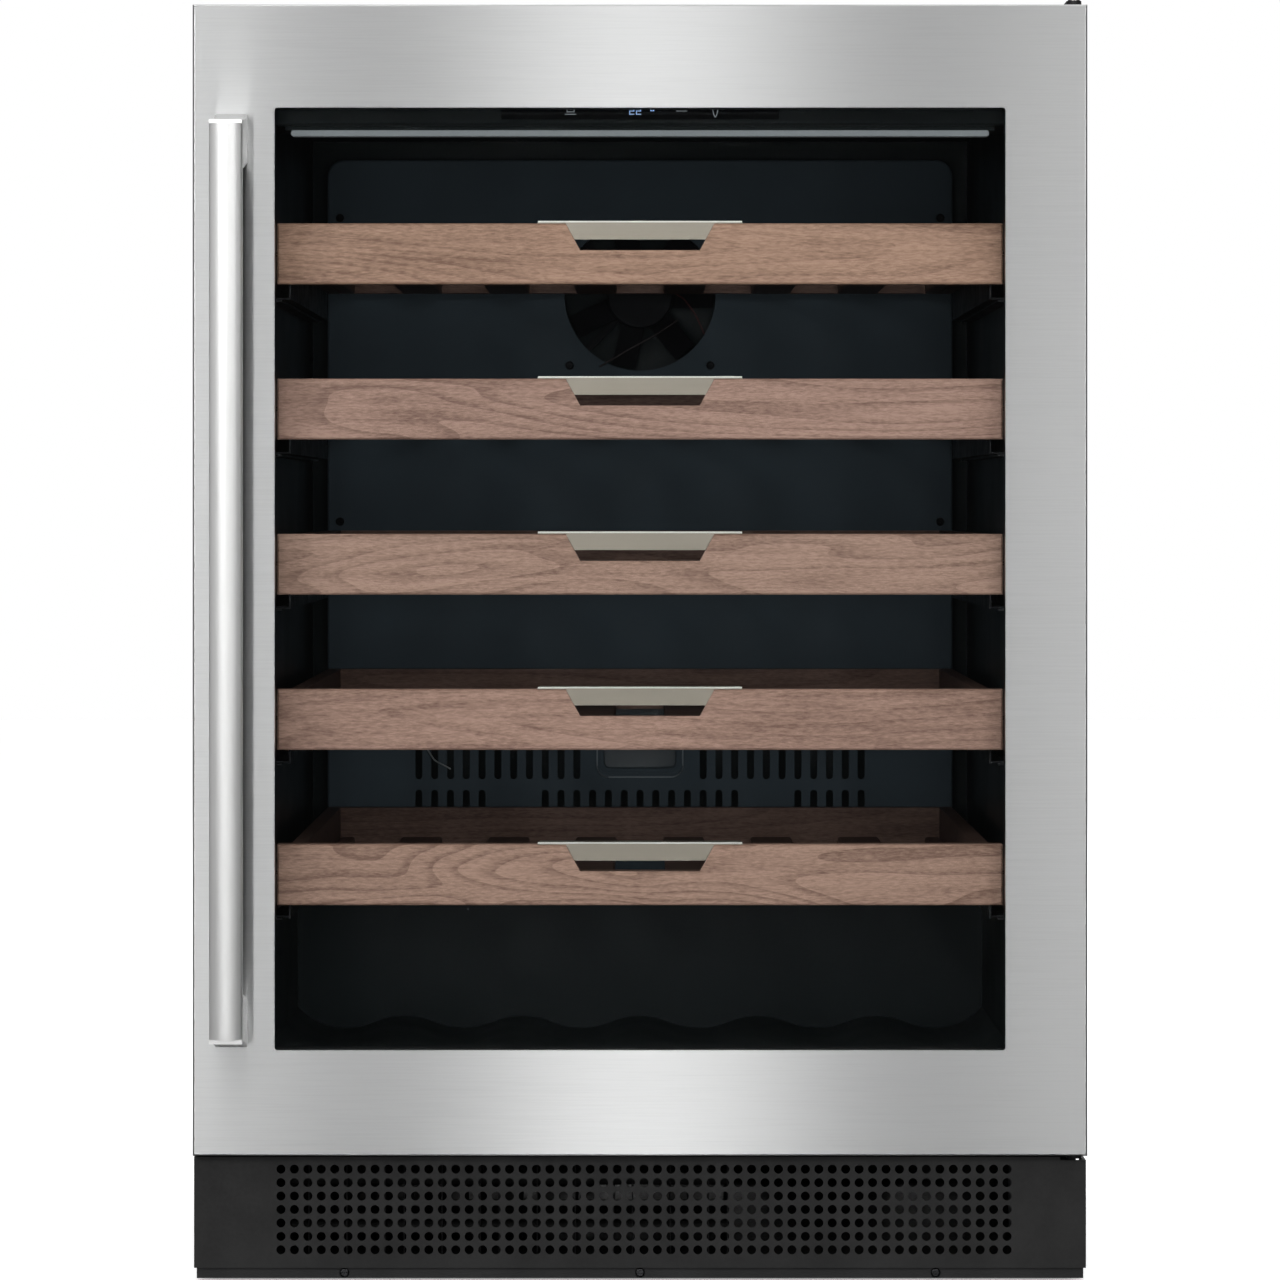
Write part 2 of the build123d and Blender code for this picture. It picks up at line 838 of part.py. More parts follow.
# Hinge bushes in the door's top and bottom edges
with BuildPart() as top_bush:
    with Locations((hinge_x, hinge_y, door_top - bush_length)):
        Cylinder(bush_radius, bush_length, align=(Align.CENTER, Align.CENTER, Align.MIN))
    with Locations((hinge_x, hinge_y, door_top)):
        Hole(pin_radius + pin_clearance)
with BuildPart() as bottom_bush:
    with Locations((hinge_x, hinge_y, door_bottom)):
        Cylinder(bush_radius, bush_length, align=(Align.CENTER, Align.CENTER, Align.MIN))
    with Locations((hinge_x, hinge_y, door_bottom + bush_length)):
        Hole(pin_radius + pin_clearance)
save_group([top_bush.part, bottom_bush.part], "door_bushes")

# Magnetic gasket on the back of the door
gasket_half = case_half - gasket_inset
gasket_low = foam_floor + gasket_inset
gasket_high = case_inner_top - gasket_inset
with BuildPart() as door_gasket:
    with BuildSketch(facing(door_back)):
        with Locations((0, (gasket_low + gasket_high) / 2)):
            Rectangle(2 * gasket_half, gasket_high - gasket_low)
            Rectangle(
                2 * (gasket_half - gasket_width),
                gasket_high - gasket_low - 2 * gasket_width,
                mode=Mode.SUBTRACT,
            )
    extrude(amount=gasket_squeeze - gasket_gap)
save(door_gasket.part, "door_gasket")

# Handle: a bar with a crowned face, held at both ends by tapered brackets
handle_x = -half_width + handle_inset
bar_low = door_bottom + handle_bottom_gap
bar_high = door_top - handle_top_gap
bar_back = front + handle_thickness
with BuildPart() as handle_bar:
    with BuildSketch(Plane.XY.offset(bar_low)):
        with BuildLine():
            Line((handle_x - handle_width / 2, bar_back), (handle_x + handle_width / 2, bar_back))
            Line(
                (handle_x + handle_width / 2, bar_back),
                (handle_x + handle_width / 2, front + handle_crown),
            )
            ThreePointArc(
                (handle_x + handle_width / 2, front + handle_crown),
                (handle_x, front),
                (handle_x - handle_width / 2, front + handle_crown),
            )
            Line(
                (handle_x - handle_width / 2, front + handle_crown),
                (handle_x - handle_width / 2, bar_back),
            )
        make_face()
    extrude(amount=bar_high - bar_low)
    fillet(handle_bar.edges().filter_by(Axis.Z), handle_edge_radius)
save(handle_bar.part, "handle_bar")


def handle_bracket(end, outward):
    # The bracket at one end of the bar; outward is 1 at the top and -1 at the bottom.
    bracket_width = handle_width + 2 * bracket_side
    neck_mid = end + outward * (bracket_lip - bracket_neck) / 2
    foot_mid = end + outward * (bracket_rise - bracket_foot / 2)
    with BuildPart() as bracket:
        with BuildSketch(facing(door_face)):
            with Locations((handle_x, foot_mid)):
                RectangleRounded(bracket_width, bracket_foot, handle_edge_radius)
        with BuildSketch(facing(bar_back)):
            with Locations((handle_x, neck_mid)):
                RectangleRounded(bracket_width, bracket_neck + bracket_lip, handle_edge_radius)
        loft()
        lip_ends = sorted((end, end + outward * bracket_lip))
        block(
            handle_x - bracket_width / 2,
            handle_x + bracket_width / 2,
            front + handle_crown / 2,
            bar_back,
            lip_ends[0],
            lip_ends[1],
        )
    return bracket.part


save_group([handle_bracket(bar_high, 1), handle_bracket(bar_low, -1)], "handle_brackets")

# Roll-out shelves, from the top down
slat_limit = tray_half - tray_rail - tray_fit
slat_pitch = (2 * (tray_half - tray_rail - edge_slat) + slat_width) / (slat_count - 1)
for level, top in enumerate(shelf_tops, start=1):
    tray_low = top - tray_rail_height

    with BuildPart() as shelf_front:
        block(-board_half, board_half, shelf_face, board_back, top - board_height, top)
        chamfer(shelf_front.faces().sort_by(Axis.Y)[0].edges(), board_arris)
        with BuildSketch(facing(shelf_face)):
            with BuildLine():
                Polyline(
                    (-notch_top, top),
                    (-notch_bottom, top - notch_depth),
                    (notch_bottom, top - notch_depth),
                    (notch_top, top),
                    close=True,
                )
            make_face()
        extrude(amount=-board_thickness, mode=Mode.SUBTRACT)
    save(shelf_front.part, f"shelf_{level}_front")

    # The tray: side rails, a rear rail and slats that run from front to back
    tray_pieces = []
    for side in (-1, 1):
        outer = side * tray_half
        inner = side * (tray_half - tray_rail)
        tray_pieces.append(
            loose_block(min(outer, inner), max(outer, inner), board_back, tray_back, tray_low, top)
        )
    tray_pieces.append(
        loose_block(-tray_half, tray_half, tray_back, tray_back + rear_rail, tray_low, top)
    )
    for slat in range(slat_count):
        slat_x = (slat - (slat_count - 1) / 2) * slat_pitch
        with BuildPart() as slat_piece:
            block(
                max(slat_x - slat_width / 2, -slat_limit),
                min(slat_x + slat_width / 2, slat_limit),
                board_back,
                tray_back,
                tray_low,
                tray_low + slat_thickness,
            )
            chamfer(slat_piece.edges().filter_by(Axis.Y), slat_arris)
        tray_pieces.append(slat_piece.part)
    save_group(tray_pieces, f"shelf_{level}_tray")

    # The finger pull: a flange on the board's top and a plate that closes the upper part of the notch
    slope = (notch_top - notch_bottom) / notch_depth
    with BuildPart() as shelf_pull:
        with BuildSketch(facing(shelf_face + pull_sheet)):
            with BuildLine():
                Polyline(
                    (-notch_top + pull_clearance, top),
                    (-notch_top + pull_clearance + slope * pull_drop, top - pull_drop),
                    (notch_top - pull_clearance - slope * pull_drop, top - pull_drop),
                    (notch_top - pull_clearance, top),
                    close=True,
                )
            make_face()
        extrude(amount=pull_sheet)
        with BuildSketch(facing(shelf_face + pull_reach)):
            with BuildLine():
                Polyline(
                    (-pull_width / 2, top),
                    (-pull_width / 2 + pull_sheet, top + pull_sheet),
                    (pull_width / 2 - pull_sheet, top + pull_sheet),
                    (pull_width / 2, top),
                    close=True,
                )
            make_face()
        extrude(amount=pull_reach)
    save(shelf_pull.part, f"shelf_{level}_pull")

    # The moving runners, one on each side rail, with a hook under the front board
    runner_high = top - slide_top_drop - slide_sheet - slide_clearance
    runner_low = top - slide_top_drop - slide_height + slide_sheet + slide_clearance
    runner_pieces = []
    for side in (-1, 1):
        web = side * tray_half
        web_out = side * (tray_half + slide_sheet)
        tip = side * (tray_half + runner_flange)
        with BuildPart() as runner:
            block(
                min(web, web_out),
                max(web, web_out),
                board_back + runner_inset,
                tray_back - runner_inset,
                runner_low,
                runner_high,
            )
            for flange_low in (runner_low, runner_high - slide_sheet):
                block(
                    min(web, tip),
                    max(web, tip),
                    board_back + runner_inset,
                    tray_back - runner_inset,
                    flange_low,
                    flange_low + slide_sheet,
                )
            block(
                min(web, web_out),
                max(web, web_out),
                board_back - runner_hook,
                board_back + runner_inset,
                runner_low,
                top - board_height,
            )
        runner_pieces.append(runner.part)
    save_group(runner_pieces, f"shelf_{level}_runners")

# Fixed slide rails on the liner walls
slide_pieces = []
for top in shelf_tops:
    slide_high = top - slide_top_drop
    slide_low = slide_high - slide_height
    for side in (-1, 1):
        wall_side = side * liner_half
        web = side * (liner_half - slide_sheet)
        tip = side * (liner_half - slide_flange)
        with BuildPart() as rail:
            block(
                min(wall_side, web),
                max(wall_side, web),
                board_back + slide_front_gap,
                tray_back - slide_rear_gap,
                slide_low,
                slide_high,
            )
            for flange_low in (slide_low, slide_high - slide_sheet):
                block(
                    min(wall_side, tip),
                    max(wall_side, tip),
                    board_back + slide_front_gap,
                    tray_back - slide_rear_gap,
                    flange_low,
                    flange_low + slide_sheet,
                )
        slide_pieces.append(rail.part)
save_group(slide_pieces, "slide_rails")

# Duct cover: a shallow pan over the fan and the evaporator
cover_screws = [
    (side * (cover_half - cover_screw_side), cover_top - cover_screw_top - cover_screw_pitch * row)
    for side in (-1, 1)
    for row in range(cover_screw_rows)
]
fan_screws = [
    (side * fan_screw_spacing / 2, fan_z + end * fan_screw_spacing / 2) for side in (-1, 1) for end in (-1, 1)
]
filter_slot_half = filter_half + filter_groove
filter_slot_corner = filter_corner + filter_raise
high_slots = [n for n in range(-slot_last, slot_last + 1) if abs(n) >= slot_high_first]
low_slots = [
    n for n in range(-slot_last, slot_last + 1) if abs(n) < slot_low_gap[0] or abs(n) > slot_low_gap[1]
]

with BuildPart() as duct_cover:
    block(-cover_half, cover_half, cover_face, liner_back - cover_seat, hump_top, cover_top)
    fillet(duct_cover.edges().filter_by(Axis.Y).group_by(Axis.Z)[-1], cover_corner)
    fillet(duct_cover.faces().sort_by(Axis.Y)[0].edges().filter_by(Axis.Z), cover_sheet)
    block(
        -cover_half + cover_sheet,
        cover_half - cover_sheet,
        cover_face + cover_sheet,
        liner_back,
        hump_top + cover_sheet,
        cover_top - cover_sheet,
        mode=Mode.SUBTRACT,
    )
    with Locations((suction_x, suction_y, hump_top + cover_sheet)):
        Hole(suction_hole, depth=cover_sheet)
    with BuildSketch(facing(cover_face)):
        with Locations((0, filter_z)):
            RectangleRounded(
                2 * (filter_slot_half + filter_rim),
                filter_height + 2 * filter_rim,
                filter_slot_corner + filter_rim,
            )
    extrude(amount=filter_raise)
    with BuildSketch(facing(cover_face - filter_raise)):
        with Locations((0, filter_z)):
            RectangleRounded(2 * filter_slot_half, filter_height, filter_slot_corner)
    extrude(amount=-filter_raise - filter_recess, mode=Mode.SUBTRACT)
    with BuildSketch(facing(cover_face)):
        with Locations((0, fan_z)):
            Circle(fan_bore)
        with Locations(*[(n * slot_pitch, slot_high_z) for n in high_slots]):
            SlotOverall(slot_high_length, slot_width, rotation=90)
        with Locations(*[(n * slot_pitch, slot_low_z) for n in low_slots]):
            SlotOverall(slot_low_length, slot_width, rotation=90)
        with Locations(*cover_screws, *fan_screws):
            Circle(screw_shank + screw_clearance)
    extrude(amount=-cover_sheet, mode=Mode.SUBTRACT)
save(duct_cover.part, "duct_cover")

# Filter cover in its recess, with upright ribs
with BuildPart() as filter_cover:
    with BuildSketch(facing(cover_face + filter_recess)):
        with Locations((0, filter_z)):
            RectangleRounded(2 * filter_half, filter_height - 2 * filter_groove, filter_corner)
    extrude(amount=filter_thickness)
    fillet(filter_cover.faces().sort_by(Axis.Y)[0].edges(), filter_edge_radius)
    with BuildSketch(facing(cover_face + filter_recess - filter_thickness)):
        with Locations((0, filter_z + filter_rib_lift)):
            with GridLocations(filter_rib_pitch, 1, filter_ribs, 1):
                Rectangle(filter_rib_width, filter_rib_height)
    extrude(amount=filter_rib_depth)
save(filter_cover.part, "filter_cover")


# Fans: a square housing with struts that carry the shaft, and a rotor with pitched blades
def fan_housing(x, y_face, z):
    # A fan housing whose face looks to the front; the shaft stands in the stator at its back.
    face = Plane(origin=(x, y_face, z), x_dir=(1, 0, 0), z_dir=(0, -1, 0))
    with BuildPart(face) as housing:
        with BuildSketch(face):
            RectangleRounded(fan_size, fan_size, fan_corner)
            Circle(fan_bore, mode=Mode.SUBTRACT)
            with GridLocations(fan_screw_spacing, fan_screw_spacing, 2, 2):
                Circle(screw_shank + screw_clearance, mode=Mode.SUBTRACT)
        extrude(amount=-fan_depth)
        with Locations((0, 0, -fan_depth + fan_stator_depth / 2)):
            Cylinder(fan_hub, fan_stator_depth)
            with PolarLocations(0, fan_struts, start_angle=45):
                with Locations(((fan_hub + fan_bore) / 2, 0, 0)):
                    Box(fan_bore - fan_hub + 2 * fan_overlap, fan_strut, fan_stator_depth)
        with Locations((0, 0, -fan_depth + fan_stator_depth)):
            Cylinder(fan_shaft, fan_shaft_length, align=(Align.CENTER, Align.CENTER, Align.MIN))
    return housing.part


def fan_rotor(x, y_face, z):
    # The rotor runs on the housing's shaft, just clear of the stator.
    hub_back = -fan_depth + fan_stator_depth + fan_running_gap
    face = Plane(origin=(x, y_face, z), x_dir=(1, 0, 0), z_dir=(0, -1, 0))
    with BuildPart(face) as rotor:
        with Locations((0, 0, hub_back)):
            Cylinder(fan_hub, fan_hub_length, align=(Align.CENTER, Align.CENTER, Align.MIN))
        fillet(rotor.edges().filter_by(GeomType.CIRCLE).sort_by(Axis.Y)[0], fan_hub_edge)
        with Locations((0, 0, hub_back + fan_hub_length / 2)):
            with PolarLocations(0, fan_blades):
                with Locations(((fan_hub - fan_overlap + fan_blade_tip) / 2, 0, 0)):
                    Box(
                        fan_blade_tip - fan_hub + fan_overlap,
                        fan_blade_chord,
                        fan_blade_sheet,
                        rotation=(fan_blade_pitch, 0, 0),
                    )
        with Locations((0, 0, hub_back)):
            Cylinder(
                fan_shaft + fan_clearance,
                fan_shaft_length + overcut,
                align=(Align.CENTER, Align.CENTER, Align.MIN),
                mode=Mode.SUBTRACT,
            )
    return rotor.part


condenser_fan_z = pan_top + fan_pan_gap + fan_size / 2
condenser_fan_face = hump_back + condenser_fan_gap
save(fan_housing(0, fan_face, fan_z), "circulation_fan_housing")
save(fan_rotor(0, fan_face, fan_z), "circulation_fan_rotor")
save(fan_housing(condenser_fan_x, condenser_fan_face, condenser_fan_z), "condenser_fan_housing")
save(fan_rotor(condenser_fan_x, condenser_fan_face, condenser_fan_z), "condenser_fan_rotor")


def finned_coil(x_mid, length, y_low, y_high, z_low, z_high, rows):
    # Straight tubes along X, joined by end blocks, through a stack of upright fins.
    fin_pitch = length / (coil_fins - 1)
    with BuildPart() as coil:
        with Locations((x_mid, (y_low + y_high) / 2, (z_low + z_high) / 2)):
            with GridLocations(fin_pitch, 1, coil_fins, 1):
                Box(coil_fin, y_high - y_low, z_high - z_low)
        for row_y, row_z in rows:
            with Locations((x_mid, row_y, row_z)):
                Cylinder(coil_tube, length + 2 * coil_tube, rotation=(0, 90, 0))
    return coil.part


evaporator_pitch = evaporator_height / evaporator_tubes
evaporator_rows = [
    (suction_y, evaporator_low + evaporator_pitch * (row + 0.5)) for row in range(evaporator_tubes)
]
save(
    finned_coil(
        0,
        evaporator_width,
        evaporator_face,
        evaporator_face + evaporator_depth,
        evaporator_low,
        evaporator_low + evaporator_height,
        evaporator_rows,
    ),
    "evaporator_coil",
)

row_pitch = condenser_depth / condenser_tubes
layer_pitch = condenser_height / condenser_layers
condenser_rows = [
    (condenser_front + row_pitch * (row + 0.5), condenser_low + layer_pitch * (layer + 0.5))
    for row in range(condenser_tubes)
    for layer in range(condenser_layers)
]
save(
    finned_coil(
        condenser_x,
        condenser_width,
        condenser_front,
        condenser_front + condenser_depth,
        condenser_low,
        condenser_low + condenser_height,
        condenser_rows,
    ),
    "condenser_coil",
)

# Control fascia under the cavity's ceiling, its board, its display window and the light bar below it
with BuildPart() as control_panel:
    block(-liner_half, liner_half, panel_face, panel_face + panel_depth, panel_bottom, cavity_top)
    fillet(control_panel.edges().filter_by(Axis.X).sort_by(Axis.Z)[:2].sort_by(Axis.Y)[0], panel_edge_radius)
    block(
        -liner_half + panel_sheet,
        liner_half - panel_sheet,
        panel_face + panel_sheet,
        panel_face + panel_depth - panel_sheet,
        panel_bottom + panel_sheet,
        cavity_top,
        mode=Mode.SUBTRACT,
    )
    with BuildSketch(facing(panel_face)):
        with Locations((0, panel_mid)):
            Rectangle(display_width + 2 * pull_clearance, display_height + 2 * pull_clearance)
    extrude(amount=-display_depth, mode=Mode.SUBTRACT)
    block(
        -light_half - carrier_side,
        light_half + carrier_side,
        light_face + carrier_front,
        light_face + light_depth + carrier_rear,
        panel_bottom - light_carrier,
        panel_bottom,
    )
save(control_panel.part, "control_panel")

with BuildPart() as display_window:
    with BuildSketch(facing(panel_face + display_depth)):
        with Locations((0, panel_mid)):
            Rectangle(display_width, display_height)
    extrude(amount=display_depth)
save(display_window.part, "display_window")

with BuildPart() as control_board:
    block(
        -display_width / 2,
        display_width / 2,
        panel_face + panel_sheet,
        panel_face + panel_sheet + board_sheet,
        panel_bottom + panel_sheet + board_low,
        cavity_top - board_high,
    )
    for chip_x in chip_places:
        block(
            chip_x - chip_size / 2,
            chip_x + chip_size / 2,
            panel_face + panel_sheet + board_sheet,
            panel_face + panel_sheet + board_sheet + chip_depth,
            panel_bottom + chip_lift,
            panel_bottom + chip_lift + chip_height,
        )
save(control_board.part, "control_board")

light_top = panel_bottom - light_carrier
with BuildPart() as light_bar:
    block(-light_half, light_half, light_face, light_face + light_depth, light_top - light_height, light_top)
    fillet(light_bar.edges().filter_by(Axis.Y), light_height * 0.4)
save(light_bar.part, "light_bar")

# Compressor: a domed shell on a foot plate, with a relay box on its side
with BuildPart() as compressor_shell:
    Cylinder(compressor_radius, compressor_height, align=(Align.CENTER, Align.CENTER, Align.MIN))
    fillet(compressor_shell.edges().filter_by(GeomType.CIRCLE).sort_by(Axis.Z)[-1], compressor_dome)
    Box(
        compressor_plate_x,
        compressor_plate_y,
        compressor_plate,
        align=(Align.CENTER, Align.CENTER, Align.MIN),
    )
compressor_piece = Pos(compressor_x, compressor_y, compressor_low) * compressor_shell.part
relay_box = loose_block(
    compressor_x - relay_half,
    compressor_x + relay_half,
    compressor_y + compressor_radius,
    compressor_y + compressor_radius + relay_depth,
    compressor_low + relay_lift,
    compressor_low + relay_lift + relay_height,
)
save_group([compressor_piece, relay_box], "compressor")

with BuildPart() as compressor_mounts:
    with Locations((compressor_x, compressor_y, pan_top)):
        with GridLocations(
            compressor_plate_x - 2 * mount_inset, compressor_plate_y - 2 * mount_inset, 2, 2
        ):
            Cylinder(mount_radius, mount_height, align=(Align.CENTER, Align.CENTER, Align.MIN))
save(compressor_mounts.part, "compressor_mounts")

# Drip tray that stands on the compressor's dome
drip_low = compressor_low + compressor_height
with BuildPart() as drip_tray:
    block(
        compressor_x - drip_width / 2,
        compressor_x + drip_width / 2,
        compressor_y - drip_depth / 2,
        compressor_y + drip_depth / 2,
        drip_low,
        drip_low + drip_height,
    )
    block(
        compressor_x - drip_width / 2 + drip_sheet,
        compressor_x + drip_width / 2 - drip_sheet,
        compressor_y - drip_depth / 2 + drip_sheet,
        compressor_y + drip_depth / 2 - drip_sheet,
        drip_low + drip_sheet,
        drip_low + drip_height,
        mode=Mode.SUBTRACT,
    )
save(drip_tray.part, "drip_tray")


# Refrigerant pipes: straight runs and round bends
def pipe(points):
    # A round rod along the points, with every corner rounded.
    first = Vector(*points[0])
    direction = Vector(*points[1]) - first
    with BuildPart() as tube:
        with BuildLine() as route:
            FilletPolyline(*points, radius=pipe_bend)
        with BuildSketch(Plane(origin=first, z_dir=direction)):
            Circle(pipe_radius)
        sweep(path=route.wires()[0])
    return tube.part


condenser_end = condenser_x + condenser_width / 2 + coil_tube
discharge_x = compressor_x - compressor_radius / 3
discharge_y = compressor_y - compressor_radius - discharge_reach
port_z = compressor_low + port_height
discharge = pipe(
    [
        (discharge_x, compressor_y - compressor_radius * port_depth, port_z),
        (discharge_x, discharge_y, port_z),
        (discharge_x, discharge_y, condenser_rows[-1][1]),
        (discharge_x, condenser_rows[-1][0], condenser_rows[-1][1]),
        (condenser_end + pipe_gap, condenser_rows[-1][0], condenser_rows[-1][1]),
    ]
)
suction = pipe(
    [
        (compressor_x + compressor_radius + pipe_gap, compressor_y, port_z),
        (suction_x, compressor_y, port_z),
        (suction_x, suction_y, port_z),
        (suction_x, suction_y, evaporator_rows[0][1]),
        (evaporator_width / 2 + coil_tube + pipe_gap, suction_y, evaporator_rows[0][1]),
    ]
)
save_group([discharge, suction], "refrigerant_pipes")

# Power inlet in the rear panel
with BuildPart() as power_inlet:
    block(
        inlet_x - inlet_width / 2,
        inlet_x + inlet_width / 2,
        case_back - inlet_depth,
        case_back,
        inlet_z - inlet_height / 2,
        inlet_z + inlet_height / 2,
    )
    with BuildSketch(facing(case_back)):
        with Locations((inlet_x, inlet_z)):
            RectangleRounded(inlet_width - 2 * inlet_wall, inlet_height - 2 * inlet_wall, inlet_wall)
    extrude(amount=inlet_depth - inlet_base, mode=Mode.SUBTRACT)
    for pin_x, pin_z in inlet_pins:
        block(
            inlet_x + pin_x - inlet_pin_width / 2,
            inlet_x + pin_x + inlet_pin_width / 2,
            case_back - inlet_depth + inlet_wall,
            case_back - inlet_base,
            inlet_z + pin_z - inlet_pin_height / 2,
            inlet_z + pin_z + inlet_pin_height / 2,
        )
save(power_inlet.part, "power_inlet")

# Every visible screw of the cabinet
screws = []
for step in (-1, 0, 1):
    rail_place = Plane(origin=(step * rail_screw_x, rail_face, (rail_low + pan_height) / 2), z_dir=(0, -1, 0))
    screws.append(cross_screw(rail_place, rail_screw_length))
for x, z in cover_screws:
    screws.append(cross_screw(Plane(origin=(x, cover_face, z), z_dir=(0, -1, 0)), cover_sheet))
for x, z in fan_screws:
    screws.append(cross_screw(Plane(origin=(x, cover_face, z), z_dir=(0, -1, 0)), fan_screw_length))
for x, y in top_screws:
    screws.append(cross_screw(Plane(origin=(x, y, top_plate_low + hinge_plate)), hinge_plate))
for x, z in leaf_screws:
    screws.append(cross_screw(Plane(origin=(x, case_front - hinge_plate, z), z_dir=(0, -1, 0)), hinge_plate))
for x, z in rear_screws:
    screws.append(cross_screw(Plane(origin=(x, case_back, z), z_dir=(0, 1, 0)), case_sheet))
save_group(screws, "cabinet_screws")
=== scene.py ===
import math

import bpy
import numpy as np
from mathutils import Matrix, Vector


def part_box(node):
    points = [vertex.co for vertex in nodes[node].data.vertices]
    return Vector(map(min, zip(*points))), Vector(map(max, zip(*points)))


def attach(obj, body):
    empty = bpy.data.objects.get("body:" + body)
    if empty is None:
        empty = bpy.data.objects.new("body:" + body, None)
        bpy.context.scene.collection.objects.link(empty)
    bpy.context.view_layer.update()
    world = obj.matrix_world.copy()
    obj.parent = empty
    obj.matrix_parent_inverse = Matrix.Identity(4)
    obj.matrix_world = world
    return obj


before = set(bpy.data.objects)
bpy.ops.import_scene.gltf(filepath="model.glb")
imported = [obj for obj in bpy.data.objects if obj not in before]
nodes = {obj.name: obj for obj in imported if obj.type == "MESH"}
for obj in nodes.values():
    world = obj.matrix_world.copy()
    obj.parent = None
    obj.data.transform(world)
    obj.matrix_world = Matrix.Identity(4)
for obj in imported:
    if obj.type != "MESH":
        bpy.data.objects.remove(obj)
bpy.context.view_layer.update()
print("frame loaded:", len(nodes), "nodes")


def placeNode(tree, kind, inputs=None, **settings):
    # one shader node with its settings and its fixed inputs
    node = tree.nodes.new(kind)
    for key, value in settings.items():
        setattr(node, key, value)
    for key, value in (inputs or {}).items():
        node.inputs[key].default_value = value
    return node


def freshMaterial(name, **inputs):
    # a material whose Principled shader has these constants on its own sockets
    material = bpy.data.materials.new(name)
    material.use_nodes = True
    shader = material.node_tree.nodes["Principled BSDF"]
    for key, value in inputs.items():
        shader.inputs[key.replace("_", " ")].default_value = value
    return material, material.node_tree, shader


def objectPoints(tree, scale=(1, 1, 1), location=(0, 0, 0), rotation=(0, 0, 0)):
    # object coordinates, moved, turned and stretched
    coords = placeNode(tree, "ShaderNodeTexCoord")
    mapping = placeNode(
        tree, "ShaderNodeMapping", {"Scale": scale, "Location": location, "Rotation": rotation}
    )
    tree.links.new(coords.outputs["Object"], mapping.inputs["Vector"])
    return mapping.outputs["Vector"]


def noise(tree, vector, scale, detail=3.0, roughness=0.5, distortion=0.0):
    # a noise value from 0 to 1 at these points
    texture = placeNode(
        tree,
        "ShaderNodeTexNoise",
        {"Scale": scale, "Detail": detail, "Roughness": roughness, "Distortion": distortion},
    )
    tree.links.new(vector, texture.inputs["Vector"])
    return texture.outputs["Fac"]


def spread(tree, value, low, high, fromLow=0.3, fromHigh=0.7):
    # the value's middle stretch, mapped onto low to high
    ramp = placeNode(
        tree,
        "ShaderNodeMapRange",
        {"From Min": fromLow, "From Max": fromHigh, "To Min": low, "To Max": high},
    )
    tree.links.new(value, ramp.inputs["Value"])
    return ramp.outputs["Result"]


def tint(tree, value, stops):
    # a colour ramp through the stops, each a place and a colour
    ramp = placeNode(tree, "ShaderNodeValToRGB")
    elements = ramp.color_ramp.elements
    while len(elements) < len(stops):
        elements.new(0.5)
    for element, (place, colour) in zip(elements, stops):
        element.position = place
        element.color = (*colour, 1)
    tree.links.new(value, ramp.inputs["Fac"])
    return ramp.outputs["Color"]


def bump(tree, shader, height, strength, distance=0.001):
    # a bump of the height value on the shader
    node = placeNode(tree, "ShaderNodeBump", {"Strength": strength, "Distance": distance})
    tree.links.new(height, node.inputs["Height"])
    tree.links.new(node.outputs["Normal"], shader.inputs["Normal"])


def shades(colour, spreadBy):
    # a darker and a lighter colour either side of one
    return [tuple(c * (1 - spreadBy) for c in colour), tuple(min(1, c * (1 + spreadBy)) for c in colour)]


def brushedSteel(name, colour, rough, along="x", contrast=0.06, fine=900.0, clouds=0.02, smear=0.0):
    # long hair lines along one axis in colour and roughness, over faint broad clouds;
    # smear stretches the highlights across the hair lines
    material, tree, shader = freshMaterial(name, Metallic=1.0)
    stretch = {"x": (0.02, 1, 1), "z": (1, 1, 0.02)}[along]
    lines = noise(tree, objectPoints(tree, stretch), fine, 2.0, 0.6)
    broad = noise(tree, objectPoints(tree), 4.0, 2.0)
    mixed = placeNode(tree, "ShaderNodeMath", operation="MULTIPLY_ADD")
    mixed.inputs[1].default_value = clouds / max(contrast, 0.001)
    tree.links.new(broad, mixed.inputs[0])
    tree.links.new(lines, mixed.inputs[2])
    low, high = shades(colour, contrast)
    tree.links.new(tint(tree, mixed.outputs[0], [(0.35, low), (0.85, high)]), shader.inputs["Base Color"])
    tree.links.new(spread(tree, lines, rough * 0.95, rough * 1.05), shader.inputs["Roughness"])
    if smear:
        shader.inputs["Anisotropic"].default_value = smear
        shader.inputs["Anisotropic Rotation"].default_value = 0.25 if along == "x" else 0.0
        level = placeNode(tree, "ShaderNodeTangent", direction_type="RADIAL", axis="Z")
        tree.links.new(level.outputs[0], shader.inputs["Tangent"])
    return material


def darkPast(material, start, end, share):
    # colour(y) = colour * (1 at start, share at end, held on both sides), with y the depth in the object
    tree = material.node_tree
    shader = next(node for node in tree.nodes if node.type == "BSDF_PRINCIPLED")
    colour = shader.inputs["Base Color"].links[0].from_socket
    split = placeNode(tree, "ShaderNodeSeparateXYZ")
    tree.links.new(placeNode(tree, "ShaderNodeTexCoord").outputs["Object"], split.inputs[0])
    depth = placeNode(
        tree, "ShaderNodeMapRange", {"From Min": start, "From Max": end, "To Min": 1.0, "To Max": share}
    )
    tree.links.new(split.outputs["Y"], depth.inputs["Value"])
    scaled = placeNode(tree, "ShaderNodeVectorMath", operation="SCALE")
    tree.links.new(colour, scaled.inputs[0])
    tree.links.new(depth.outputs["Result"], scaled.inputs["Scale"])
    tree.links.new(scaled.outputs[0], shader.inputs["Base Color"])
    return material


